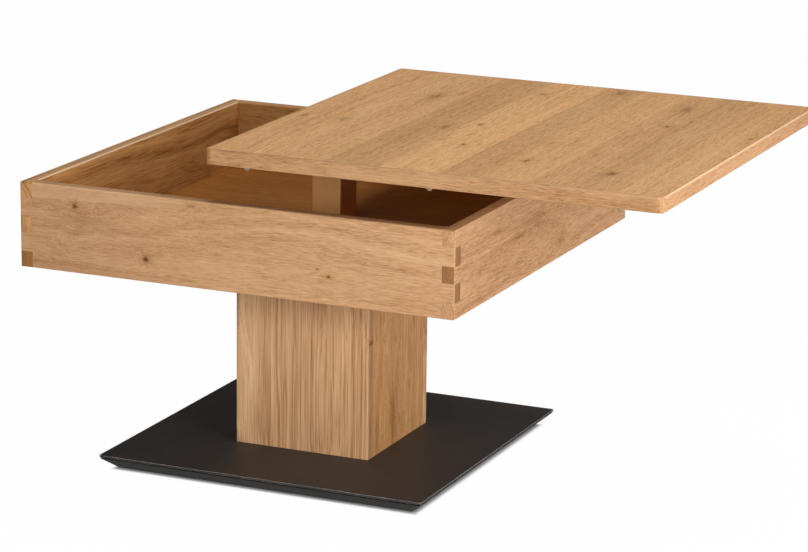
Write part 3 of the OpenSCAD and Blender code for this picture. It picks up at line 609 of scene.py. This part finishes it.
OAK_TOP = SolidOak(
    "oak_top_staves", Axis.Y, Axis.X, 23.0, (0.0, 470.0),
    (-45.0, 52.0, 140.0, 224.0, 317.0, 380.0, 455.0, 505.0, 580.0, 655.0),
    (1.07, 1.03, 0.91, 1.12, 0.93, 1.02, 0.93, 0.88, 0.97),
    knots=(
        Knot(100, 160, 11, 0.4, 2.6), Knot(127, 200, 3, 0.6, 2.5), Knot(243, 250, 6, 0.4, 2),
        Knot(245, -12, 4.5, 0.6, 2), Knot(205, -52, 8, 0.3, 2.5), Knot(-20, -65, 4, 0.6, 2.5),
        Knot(45, -66, 9, 0.3, 2), Knot(348, 315, 11, 0.35, 2.5), Knot(485, 240, 11, 0.38, 3),
        Knot(500, 103, 3, 1, 2), Knot(640, 75, 3.5, 0.6, 2), Knot(277, -153, 3.5, 0.7, 2),
        Knot(400, -215, 6.5, 0.65, 1.3), Knot(540, -240, 8, 0.65, 1.8), Knot(475, -130, 4, 0.4, 2),
    ),
    figure=0.75, fibre=1.15, tones=("#F5CB95", "#E0AB76", "#A8733F"), end="#C08A55",
)
OAK_LIP_X = SolidOak(
    "oak_lipping_x", Axis.X, Axis.Z, 31.0, (527.0, -620.0), figure=0.7,
    tones=("#D9AF83", "#C19266", "#8D5F33"), end="#CDA077",
)
OAK_LIP_Y = SolidOak(
    "oak_lipping_y", Axis.Y, Axis.Z, 37.0, (527.0, 860.0), figure=0.7, tone=1.02,
    tones=("#DFB489", "#C7976C", "#926336"), end="#D3A67B",
)
OAK_FLOOR = SolidOak(
    "oak_tray_floor", Axis.X, Axis.Y, 41.0, (0.0, 250.0), (-338.0, -169.0, 0.0, 169.0, 338.0),
    (1.0, 0.97, 1.02, 0.99), tones=("#BC823F", "#A6692D", "#774014"),
)
OAK_COLUMN_FRONT = SolidOak(
    "oak_column_front", Axis.Z, Axis.X, 43.0, (0.0, -190.0), (-112.0, -21.0, 38.0, 112.0), (1.06, 1.01, 1.07),
    figure=1.9, fibre=1.15, clouds=1.6, reach=6.0, tones=("#EFC798", "#D4A679", "#96663A"),
    strip=(20.0, 400.0, 110.8, 110.8), strip_tone="#6E3F17",
    knots=(Knot(113, 208, 2.2, 0.8, 3), Knot(-109, 250, 5, 0.35, 14)),
)
OAK_COLUMN_BACK = replace(
    OAK_COLUMN_FRONT, name="oak_column_back", seed=47.0, pith=(0.0, 190.0), joints=(-112.0, -30.0, 50.0, 112.0),
    stave_tones=(0.99, 1.01, 0.97), strip=(), knots=(),
)
OAK_COLUMN_LEFT = SolidOak("oak_column_left", Axis.Z, Axis.Y, 53.0, (0.0, -260.0), tone=0.97, reach=4.0)
OAK_COLUMN_RIGHT = SolidOak(
    "oak_column_right", Axis.Z, Axis.Y, 59.0, (0.0, 260.0), tone=0.99, fibre=1.3, reach=5.0,
    knots=(Knot(-20, 70, 15, 0.35, 4), Knot(108, 110, 5, 0.3, 20), Knot(-80, 60, 8, 0.3, 6)),
    tones=("#DEB17D", "#C4915D", "#8C5B2B"),
)


# Repeated pieces, made with Geometry Nodes


def new_tree(name: str, sizes: dict[str, float]) -> tuple[NodeTree, dict[str, str], Adder, bpy_prop_collection]:
    """Start a Geometry Nodes tree that takes points, named sizes and a finish.

    Args:
        name: the tree's name.
        sizes: each size with its default value.

    Returns:
        The tree, each input's socket identifier by name, the call that adds a node, and the inputs by name.
    """
    tree = bpy.data.node_groups.new(name, "GeometryNodeTree")
    found = {}
    for label in ("Geometry", *sizes, "Finish"):
        kind = {"Geometry": "Geometry", "Finish": "Material"}.get(label, "Float")
        socket = tree.interface.new_socket(label, in_out="INPUT", socket_type="NodeSocket" + kind)
        if label in sizes:
            socket.default_value = sizes[label]
        found[label] = socket.identifier
    tree.interface.new_socket("Geometry", in_out="OUTPUT", socket_type="NodeSocketGeometry")
    add = partial(add_node, tree)
    return tree, found, add, add("NodeGroupInput").outputs


def copied(add: Adder, shape: Feed, given: bpy_prop_collection) -> None:
    """End a tree: one shape on every point, made real and dressed.

    Args:
        add: adds a node to the tree.
        shape: the shape.
        given: the tree's inputs by name.
    """
    placed = add("GeometryNodeInstanceOnPoints", {"Points": given["Geometry"], "Instance": shape})
    real = add("GeometryNodeRealizeInstances", {0: placed})
    add("NodeGroupOutput", {0: add("GeometryNodeSetMaterial", {"Geometry": real, "Material": given["Finish"]})})


@cache
def screw_tree() -> tuple[NodeTree, dict[str, str]]:
    """Build the tree that puts a socket-head screw on every point.

    Returns:
        The tree and its inputs' identifiers.
    """
    sizes = {
        "Head Diameter": 0.01, "Head Seat Diameter": 0.01, "Head Height": 0.003, "Shank Diameter": 0.005,
        "Shank Length": 0.02, "Socket Width": 0.004, "Way": 1.0,
    }
    tree, found, add, given = new_tree("socket_screws", sizes)
    widths = ("Head Diameter", "Head Seat Diameter", "Shank Diameter", "Socket Width")
    radius = {label: add(MATH, {0: given[label], 1: 0.5}, "MULTIPLY") for label in widths}
    high = given["Head Height"]
    # The head stands on z = 0 with its drive facing down, and the shank goes up
    cone = {"Radius Top": radius["Head Seat Diameter"], "Radius Bottom": radius["Head Diameter"], "Depth": high}
    head = add("GeometryNodeMeshCone", {"Vertices": 32, **cone})
    # The drive goes 0.6 of the head deep, and its tool is centred on z = 0
    tall = add(MATH, {0: high, 1: 1.2}, "MULTIPLY")
    tool = add("GeometryNodeMeshCylinder", {"Vertices": 6, "Radius": radius["Socket Width"], "Depth": tall})
    bored = add("GeometryNodeMeshBoolean", {"Mesh 1": head, "Mesh 2": tool}, "DIFFERENCE")
    rod = {"Vertices": 20, "Radius": radius["Shank Diameter"], "Depth": given["Shank Length"]}
    rise = add(MATH, {0: given["Shank Length"], 1: 0.5, 2: high}, "MULTIPLY_ADD")
    lifted = {"Geometry": add("GeometryNodeMeshCylinder", rod), "Translation": add(JOIN, {2: rise})}
    whole = add("GeometryNodeJoinGeometry", {0: [bored, add("GeometryNodeTransform", lifted)]})
    over = add(RANGE, {"Value": given["Way"], SPANS: (1.0, -1.0, 0.0, math.pi)})
    copied(add, add("GeometryNodeTransform", {"Geometry": whole, "Rotation": add(JOIN, {0: over})}), given)
    return tree, found


@cache
def disc_tree() -> tuple[NodeTree, dict[str, str]]:
    """Build the tree that puts a moulded disc or dome on every point.

    Returns:
        The tree and its inputs' identifiers.
    """
    sizes = {"Radius": 0.005, "Steepness": 1.0, "Lowest": -0.001, "Highest": 0.001}
    tree, found, add, given = new_tree("moulded_discs", sizes)
    ball = add("GeometryNodeMeshUVSphere", {"Segments": 40, "Rings": 24, "Radius": given["Radius"]})
    split = add(SPLIT, {0: add("GeometryNodeInputPosition")}).outputs
    steep = add(MATH, {0: split[2], 1: given["Steepness"]}, "MULTIPLY")
    held = add("ShaderNodeClamp", {"Value": steep, "Min": given["Lowest"], "Max": given["Highest"]})
    moved = add(JOIN, {0: split[0], 1: split[1], 2: held})
    copied(add, add("GeometryNodeSetPosition", {"Geometry": ball, "Position": moved}), given)
    return tree, found


# Sub-assemblies


@dataclass(frozen=True)
class Screw:
    """A socket-head screw: widths of head, shank and drive, and the head's height, in millimetres."""

    head_d: float
    head_h: float
    shank_d: float
    drive: float
    # How much narrower the head's face is than its widest place
    trim: float = 0.6
    sunk: bool = False


WOOD_SCREW = Screw(10.0, 3.0, 5.0, 3.0)


@dataclass(frozen=True)
class Rim:
    """Upper rim of a tray wall, in millimetres."""

    # How strongly it is oiled; below 0 it is paler instead
    tone: float
    # How strongly its inner arris is rubbed
    rub: float = 1.0
    height: float = 460.0
    ease: float = 1.8
    # Half the clear width between the walls
    inner: float = 330.0

    def arris(self, edge: BMEdge) -> bool:
        """Tell whether an edge is the arris between the rim and the wall's inner face.

        Args:
            edge: the edge.

        Returns:
            True for the inner arris of the rim.
        """
        ends = [vert.co for vert in edge.verts]
        if len(edge.link_faces) != 2 or any(abs(end.z - self.height * MM) > MM / 10 for end in ends):
            return False
        if any(max(abs(end.x), abs(end.y)) > (self.inner + 0.5) * MM for end in ends):
            return False
        middle = (ends[0] + ends[1]) / 2
        inward = Vector((-middle.x, -middle.y, 0.0))
        sides = [face.normal for face in edge.link_faces if abs(face.normal.z) < 0.1]
        # An inner face looks towards the middle, which is 0.33 m away
        return len(sides) == 1 and sides[0].dot(inward) > 0.2


def sharp(edge: BMEdge) -> bool:
    """Tell whether an edge is an arris of the finished board."""
    return len(edge.link_faces) == 2 and edge.calc_face_angle(0) > math.radians(ARRIS_DEG)


def rubbed(face: BMFace, finish: Finish) -> float:
    """Tell how pale an arris is rubbed; oak only where the hand pushes the top."""
    pushed = face.normal.dot(Vector((1.0, 0.0, 1.0)).normalized()) > PUSHED
    return 1.0 if pushed or not isinstance(finish, SolidOak) else UNTOUCHED


def middles(boxes: list[tuple[Vector, Vector]], high: bool) -> list[Vector]:
    """Give the middle of each box's top or bottom."""
    return [Vector(((a.x + b.x) / 2, (a.y + b.y) / 2, b.z if high else a.z)) for a, b in boxes]


def put(name: str, data: ID) -> Object:
    """Put a mesh, lamp or camera into the scene.

    Args:
        name: the object's name.
        data: what it shows.

    Returns:
        The object.
    """
    thing = bpy.data.objects.new(name, data)
    bpy.context.scene.collection.objects.link(thing)
    return thing


@dataclass
class Workshop:
    """What every sub-assembly needs: the loaded frame, and how its nodes are dressed or replaced."""

    frame: dict

    def dress(self, finish: Finish, *nodes: str) -> None:
        """Give CAD nodes their finish where their shape is already right.

        Args:
            finish: the finish dataclass.
            nodes: names of the CAD nodes.
        """
        for node in nodes:
            mesh = self.frame["nodes"][node].data
            mesh.materials.clear()
            mesh.materials.append(made(finish))
            LOG.info("%s: CAD node in %s", node, finish.name)

    def stand_in(self, name: str, mesh: Mesh, smooth_deg: float, node: str) -> None:
        """Let a finished mesh stand for a CAD node.

        Args:
            name: the piece's name.
            mesh: its mesh.
            smooth_deg: up to this angle its faces are shaded as one skin.
            node: the CAD node it replaces.
        """
        for polygon in mesh.polygons:
            polygon.use_smooth = True
        mesh.set_sharp_from_angle(angle=math.radians(smooth_deg))
        piece = put(name, mesh)
        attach(piece, self.frame["nodes"][node]["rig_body"])
        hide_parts(node)
        LOG.info("%s: %d faces, stands for %s", name, len(mesh.polygons), node)

    def merged(self, node: str) -> BMesh:
        """Copy a CAD node's mesh and merge its doubles.

        Args:
            node: name of the CAD node.

        Returns:
            The copy.
        """
        form = bmesh.new()
        form.from_mesh(self.frame["nodes"][node].data)
        bmesh.ops.remove_doubles(form, verts=form.verts, dist=MERGE)
        return form

    def ease(
        self, finish: Finish, ease_mm: float, *nodes: str, segments: int = 2, rim: Rim | None = None,
        pale: tuple[tuple[int, float, float], ...] = (), pale_share: float = 0.0,
    ) -> None:
        """Copy CAD nodes and ease their sharp arrises, as a sanding block or a file does.

        Args:
            finish: the finish dataclass.
            ease_mm: width of the eased arris in millimetres.
            nodes: names of the CAD nodes.
            segments: faces across an eased arris.
            rim: the upper rim, if the node is a tray wall.
            pale: end-grain faces that took little oil: side along Y, lowest and highest z in millimetres.
            pale_share: how much lighter those faces are.
        """
        for node in nodes:
            form = self.merged(node)
            bmesh.ops.dissolve_limit(
                form, angle_limit=math.radians(FLAT_DEG), verts=form.verts, edges=form.edges, delimit={"NORMAL"}
            )
            passes = [(ease_mm, 1.0, sharp)]
            if rim:
                passes.insert(0, (rim.ease, rim.rub, rim.arris))
                # Ends the inner arris where the next wall meets it
                for side in (-1, 1):
                    bmesh.ops.bisect_plane(
                        form, geom=form.verts[:] + form.edges[:] + form.faces[:], dist=MERGE,
                        plane_co=(0, side * rim.inner * MM, 0), plane_no=(0, 1, 0),
                    )
            marks = {name: form.faces.layers.float.new(name) for name in ("arris", "oil")}
            for face in form.faces:
                middle = face.calc_center_median()
                if SLOPE < face.normal.z < LEVEL:
                    face[marks["arris"]] = rubbed(face, finish)
                if rim and face.normal.z > LEVEL and middle.z > (rim.height - 1) * MM:
                    face[marks["oil" if rim.tone > 0 else "arris"]] = abs(rim.tone)
                for side, low, high in pale:
                    if face.normal.y * side > FACING and low * MM < middle.z < high * MM:
                        face[marks["oil"]] = -1.0
                        face[marks["arris"]] = pale_share
            for width, strength, chosen in passes:
                cut = bmesh.ops.bevel(
                    form, geom=[edge for edge in form.edges if chosen(edge)], offset=width * MM, segments=segments,
                    profile=0.5, affect="EDGES", clamp_overlap=True,
                )
                for face in cut["faces"]:
                    face.normal_update()
                    face[marks["arris"]] = rubbed(face, finish) * strength
            name = node + "_eased"
            mesh = bpy.data.meshes.new(name)
            form.to_mesh(mesh)
            form.free()
            mesh.materials.append(made(finish))
            self.stand_in(name, mesh, EASED_SMOOTH_DEG, node)

    def islands(self, node: str) -> list[tuple[Vector, Vector]]:
        """Find the separate solids of a CAD node.

        Args:
            node: name of the CAD node.

        Returns:
            Lowest and highest corner of each solid, in metres.
        """
        form = self.merged(node)
        left, boxes = set(form.verts), []
        while left:
            heap, seen = [left.pop()], []
            while heap:
                vert = heap.pop()
                seen.append(vert.co.copy())
                for edge in vert.link_edges:
                    other = edge.other_vert(vert)
                    if other in left:
                        left.remove(other)
                        heap.append(other)
            boxes.append(tuple(Vector([end(c[i] for c in seen) for i in range(3)]) for end in (min, max)))
        form.free()
        return sorted(boxes, key=lambda box: tuple(round(c, 5) for c in box[0]))

    def scatter(
        self, tree: Callable, name: str, node: str, points: list[Vector], finish: Finish, **inputs: float
    ) -> None:
        """Run a Geometry Nodes tree on points and keep the result as a plain mesh.

        Args:
            tree: the function that builds the tree, once.
            name: name of the finished piece.
            node: the CAD node it replaces.
            points: where the copies go, in metres.
            finish: the finish dataclass.
            inputs: values of the tree's named inputs, with _ for a space.
        """
        group, found = tree()
        seat = bpy.data.meshes.new(name + "_points")
        seat.from_pydata([tuple(p) for p in points], [], [])
        maker = put(name + "_maker", seat)
        modifier = maker.modifiers.new("copies", "NODES")
        modifier.node_group = group
        for label, value in inputs.items():
            modifier[found[label.replace("_", " ")]] = value
        modifier[found["Finish"]] = made(finish)
        mesh = bpy.data.meshes.new_from_object(maker.evaluated_get(bpy.context.evaluated_depsgraph_get()))
        mesh.name = name
        bpy.data.objects.remove(maker)
        self.stand_in(name, mesh, REPEATED_SMOOTH_DEG, node)

    def screws(self, node: str, screw: Screw, way: Way = Way.UP) -> None:
        """Replace a node of plain screws by screws with a drive, in the same places.

        Args:
            node: name of the CAD node.
            screw: their sizes.
            way: which way they point.
        """
        boxes = self.islands(node)
        self.scatter(
            screw_tree, node + "_driven", node, middles(boxes, way is Way.DOWN), ZINC,
            Head_Diameter=(screw.head_d - screw.trim) * MM,
            Head_Seat_Diameter=(screw.shank_d if screw.sunk else screw.head_d) * MM,
            Head_Height=screw.head_h * MM, Shank_Diameter=screw.shank_d * MM,
            Shank_Length=(boxes[0][1].z - boxes[0][0].z) - screw.head_h * MM,
            Socket_Width=screw.drive * MM, Way=float(way.value),
        )


@dataclass
class Base:
    """Base plate: bevelled board, steel cover, glides and the bolts under it."""

    shop: Workshop
    cover_ease: float = 1.0
    board_ease: float = 0.5
    glide_d: float = 30.0
    glide_h: float = 2.0
    glide_steep: float = 0.45
    bolt: Screw = Screw(14.0, 5.0, 8.0, 6.0)
    block_screw: Screw = WOOD_SCREW

    def build(self) -> None:
        """Make and dress the base."""
        shop = self.shop
        shop.ease(POWDER_BLACK, self.cover_ease, "base_cover")
        shop.ease(LACQUER_BLACK, self.board_ease, "base_board")
        shop.scatter(
            disc_tree, "glides_moulded", "floor_glides", [(a + b) / 2 for a, b in shop.islands("floor_glides")],
            GLIDE_GREY, Radius=self.glide_d / 2 * MM, Steepness=self.glide_steep,
            Lowest=-self.glide_h / 2 * MM, Highest=self.glide_h / 2 * MM,
        )
        shop.screws("base_bolts", self.bolt)
        shop.screws("block_screws_low", self.block_screw)


@dataclass
class Pedestal:
    """Pedestal: four oak boards on glue blocks."""

    shop: Workshop
    ease: float = 0.35
    block_screw: Screw = WOOD_SCREW

    def build(self) -> None:
        """Make and dress the pedestal."""
        shop = self.shop
        shop.ease(OAK_COLUMN_FRONT, self.ease, "column_front")
        shop.ease(OAK_COLUMN_BACK, self.ease, "column_back")
        shop.ease(OAK_COLUMN_LEFT, self.ease, "column_left")
        shop.ease(OAK_COLUMN_RIGHT, self.ease, "column_right")
        shop.dress(BEECH, "corner_blocks")
        shop.screws("block_screws_top", self.block_screw)


@dataclass
class LiftGear:
    """Guide tube, post, gas spring and their guides."""

    shop: Workshop
    flange_screw: Screw = WOOD_SCREW

    def build(self) -> None:
        """Make and dress the lifting gear."""
        shop = self.shop
        shop.dress(STEEL_BLACK, "guide_tube_foot", "guide_tube", "guide_tube_flange", "gas_spring_cylinder")
        shop.dress(NYLON_BLACK, "upper_guide", "lower_guide", "rod_guide_seal", "floor_collar")
        shop.dress(POST_STEEL, "lift_post")
        shop.dress(BRIGHT_STEEL, "piston_rod", "release_pin")
        shop.dress(ZINC, "spring_spacer", "spring_nut")
        shop.screws("flange_screws", self.flange_screw)


@dataclass
class ReleaseGear:
    """Release head, rocker, wire and hand lever."""

    shop: Workshop
    steel_ease: float = 0.3
    grip_ease: float = 1.2
    grip_segments: int = 4
    head_screw: Screw = Screw(7.0, 3.0, 4.0, 3.0)
    bracket_screw: Screw = Screw(8.0, 2.0, 4.0, 2.5)

    def build(self) -> None:
        """Make and dress the release."""
        shop = self.shop
        shop.dress(BRIGHT_STEEL, "release_head", "release_rocker", "rocker_pivot", "wire_end_rocker", "wire_end_lever")
        shop.dress(ZINC, "cable_ferrules")
        shop.dress(NYLON_BLACK, "cable_sheath", "cable_clips")
        shop.ease(STEEL_BLACK, self.steel_ease, "lever_bracket", "release_lever")
        shop.ease(NYLON_BLACK, self.grip_ease, "lever_grip", segments=self.grip_segments)
        shop.screws("release_head_screws", self.head_screw, Way.DOWN)
        shop.screws("lever_bracket_screws", self.bracket_screw)
        shop.dress(ZINC, "lever_pivot_bolt")


@dataclass
class Tray:
    """Finger-jointed oak tray."""

    shop: Workshop
    wall_ease: float = 0.35
    floor_ease: float = 0.3
    dark_rim: Rim = Rim(0.45)
    pale_rim: Rim = Rim(-0.4)
    bright_rim: Rim = Rim(-0.4, 1.7)
    # Fingers that show at the front corners, as the ease method's pale faces
    left_fingers: tuple = ((-1, 435, 460), (-1, 383, 407))
    right_fingers: tuple = ((-1, 435, 460), (-1, 330, 354))

    def build(self) -> None:
        """Make and dress the tray."""
        shop, ease = self.shop, self.wall_ease
        shop.ease(OAK_FRONT, ease, "tray_front", rim=self.dark_rim)
        shop.ease(OAK_BACK, ease, "tray_back", rim=self.pale_rim)
        shop.ease(OAK_LEFT, ease, "tray_left", rim=self.bright_rim, pale=self.left_fingers, pale_share=0.2)
        shop.ease(OAK_RIGHT, ease, "tray_right", rim=self.pale_rim, pale=self.right_fingers)
        shop.ease(OAK_FLOOR, self.floor_ease, "tray_floor")


@dataclass
class Carriage:
    """Head plate, arms and the shoes that run in the top's rails."""

    shop: Workshop
    plate_ease: float = 0.4
    bolt: Screw = Screw(10.0, 4.0, 6.0, 5.0)
    shoe_screw: Screw = Screw(9.0, 3.0, 5.0, 3.0)

    def build(self) -> None:
        """Make and dress the carriage."""
        shop = self.shop
        shop.ease(STEEL_BLACK, self.plate_ease, "head_plate", "carriage_crossbar")
        shop.dress(STEEL_BLACK, "carriage_arm_front", "carriage_arm_back")
        shop.dress(NYLON_BLACK, "slide_shoes")
        shop.screws("carriage_bolts", self.bolt)
        shop.screws("shoe_screws", self.shoe_screw)


@dataclass
class Top:
    """Oak top with its lipping, rails, stops and bumpers."""

    shop: Workshop
    ease: float = 0.05
    bumper_d: float = 10.0
    bumper_h: float = 5.5
    rail_screw: Screw = Screw(6.5, 1.4, 3.5, 2.5, 0.4, sunk=True)

    def build(self) -> None:
        """Make and dress the top."""
        shop = self.shop
        shop.ease(OAK_TOP, self.ease, "top_board")
        shop.ease(OAK_LIP_X, self.ease, "top_lipping_front", "top_lipping_back")
        shop.ease(OAK_LIP_Y, self.ease, "top_lipping_left", "top_lipping_right")
        shop.dress(RAIL_ALU, "top_rails")
        shop.dress(NYLON_BLACK, "rail_stops")
        shop.screws("rail_screws", self.rail_screw)
        shop.scatter(
            disc_tree, "bumpers_domed", "bumpers", middles(shop.islands("bumpers"), True), CLEAR,
            Radius=self.bumper_d / 2 * MM, Steepness=self.bumper_h / self.bumper_d * 2,
            Lowest=-self.bumper_h * MM, Highest=0.0,
        )


# Studio


def seen(add: Adder) -> Node:
    """Tell the camera's rays, also those through clear plastic, from the light's."""
    path = add("ShaderNodeLightPath").outputs
    return add(MATH, {0: path["Is Camera Ray"], 1: path["Is Transmission Ray"]}, "MAXIMUM")


@dataclass
class Studio:
    """White floor, soft lamps and the photograph's camera."""

    focal: float = 3292.63
    distance: float = 5.08831
    azimuth: float = 23.624
    elevation: float = 14.331
    roll: float = 0.736
    aim_x: float = 0.10907
    aim_z: float = 0.27652
    sensor: float = 36.0
    # The point that the lamps face
    lit: tuple[float, float, float] = (0.1, 0.0, 0.4)
    floor_r: float = 30.0
    floor_tone: float = 0.8
    fill: float = 0.12
    floor_glow: float = 0.985
    # Half the base, and how far inside it the floor's shadow starts and ends
    footprint: float = 0.2675
    shadow_start: float = 0.021
    shadow_end: float = 0.01

    def camera(self) -> None:
        """Place the camera that was fitted to the photograph."""
        az, el, roll = (math.radians(v) for v in (self.azimuth, self.elevation, self.roll))
        back = Vector((math.sin(az) * math.cos(el), -math.cos(az) * math.cos(el), math.sin(el)))
        right = Vector((math.cos(az), math.sin(az), 0.0))
        up = back.cross(right)
        side = right * math.cos(roll) + up * math.sin(roll)
        head = up * math.cos(roll) - right * math.sin(roll)
        data = bpy.data.cameras.new("camera")
        data.sensor_fit = "HORIZONTAL"
        data.sensor_width = self.sensor
        data.lens = self.focal * self.sensor / PICTURE_W
        data.clip_end = 100.0
        matrix = Matrix((side, head, back)).transposed().to_4x4()
        matrix.translation = right * self.aim_x + Vector((0.0, 0.0, self.aim_z)) + back * self.distance
        camera = put("camera", data)
        camera.matrix_world = matrix
        bpy.context.scene.camera = camera

    def lamp(
        self, name: str, power: float, place: tuple[float, float, float], size: tuple[float, float] = (1.6, 1.6)
    ) -> None:
        """Hang one soft box that faces the table.

        Args:
            name: the lamp's name.
            power: its power in watts.
            place: where it hangs, in metres.
            size: its width and height in metres.
        """
        data = bpy.data.lights.new(name, "AREA")
        data.shape = "RECTANGLE"
        data.size, data.size_y = size
        data.energy = power
        lamp = put(name, data)
        lamp.location = place
        lamp.rotation_euler = (Vector(place) - Vector(self.lit)).to_track_quat("Z", "Y").to_euler()

    def floor(self) -> None:
        """Lay the white floor, which keeps the object's shadow."""
        form = bmesh.new()
        bmesh.ops.create_circle(form, cap_ends=True, segments=96, radius=self.floor_r)
        mesh = bpy.data.meshes.new("studio_floor")
        form.to_mesh(mesh)
        form.free()
        material, add, place = begin("studio_white")
        paint = add("ShaderNodeBsdfDiffuse", {"Color": (self.floor_tone, self.floor_tone, self.floor_tone, 1.0)})
        glow = add("ShaderNodeEmission", {"Color": linear("#FFFFFF"), "Strength": 1.0})
        # The strip of floor under the base's bevel keeps its deep contact shadow
        split = add(SPLIT, {0: place["Object"]}).outputs
        sides = [add(MATH, {0: split[i]}, "ABSOLUTE") for i in (0, 1)]
        away = add(MATH, {0: sides[0], 1: sides[1]}, "MAXIMUM")
        start, end = self.footprint - self.shadow_start, self.footprint - self.shadow_end
        clear = add(RANGE, {"Value": away, SPANS: (start, end)}, interpolation_type="SMOOTHSTEP")
        share = add(MATH, {0: seen(add), 1: self.floor_glow}, "MULTIPLY")
        share = add(MATH, {0: share, 1: clear}, "MULTIPLY")
        add("ShaderNodeOutputMaterial", {"Surface": add("ShaderNodeMixShader", {0: share, 1: paint, 2: glow})})
        mesh.materials.append(material)
        put("studio_floor", mesh)

    def sky(self) -> None:
        """Fill the world with white for the camera and with a low fill for the object."""
        world = bpy.data.worlds.new("studio_world")
        add = emptied(world)
        strength = add(RANGE, {"Value": seen(add), "To Min": self.fill, "To Max": 1.0})
        glow = add("ShaderNodeBackground", {"Color": linear("#FFFFFF"), "Strength": strength})
        add("ShaderNodeOutputWorld", {"Surface": glow})
        bpy.context.scene.world = world

    def build(self) -> None:
        """Set up the whole studio."""
        self.camera()
        self.floor()
        self.sky()
        self.lamp("key_right", 97.0, (3.7, -2.08, 0.985))
        self.lamp("overhead", 60.0, (0.1, 1.09, 4.46))
        self.lamp("edge_right", 20.0, (3.21, 1.13, 2.99))
        self.lamp("side_box", 11.0, (1.94, -0.32, 1.57), (1.0, 1.0))
        self.lamp("front_strip", 15.5, (0.1, -2.1, 0.97), (1.7, 0.42))
        bpy.context.scene.view_settings.view_transform = "Standard"


def main() -> None:
    """Load the frame, build every sub-assembly and note the sizes."""
    logging.basicConfig(level=logging.INFO, format="%(message)s")
    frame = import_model()
    Studio().build()
    shop = Workshop(frame)
    for part in (Base(shop), Pedestal(shop), LiftGear(shop), ReleaseGear(shop), Tray(shop), Carriage(shop), Top(shop)):
        LOG.info("building %s", type(part).__name__)
        part.build()


if __name__ == "__main__":
    main()
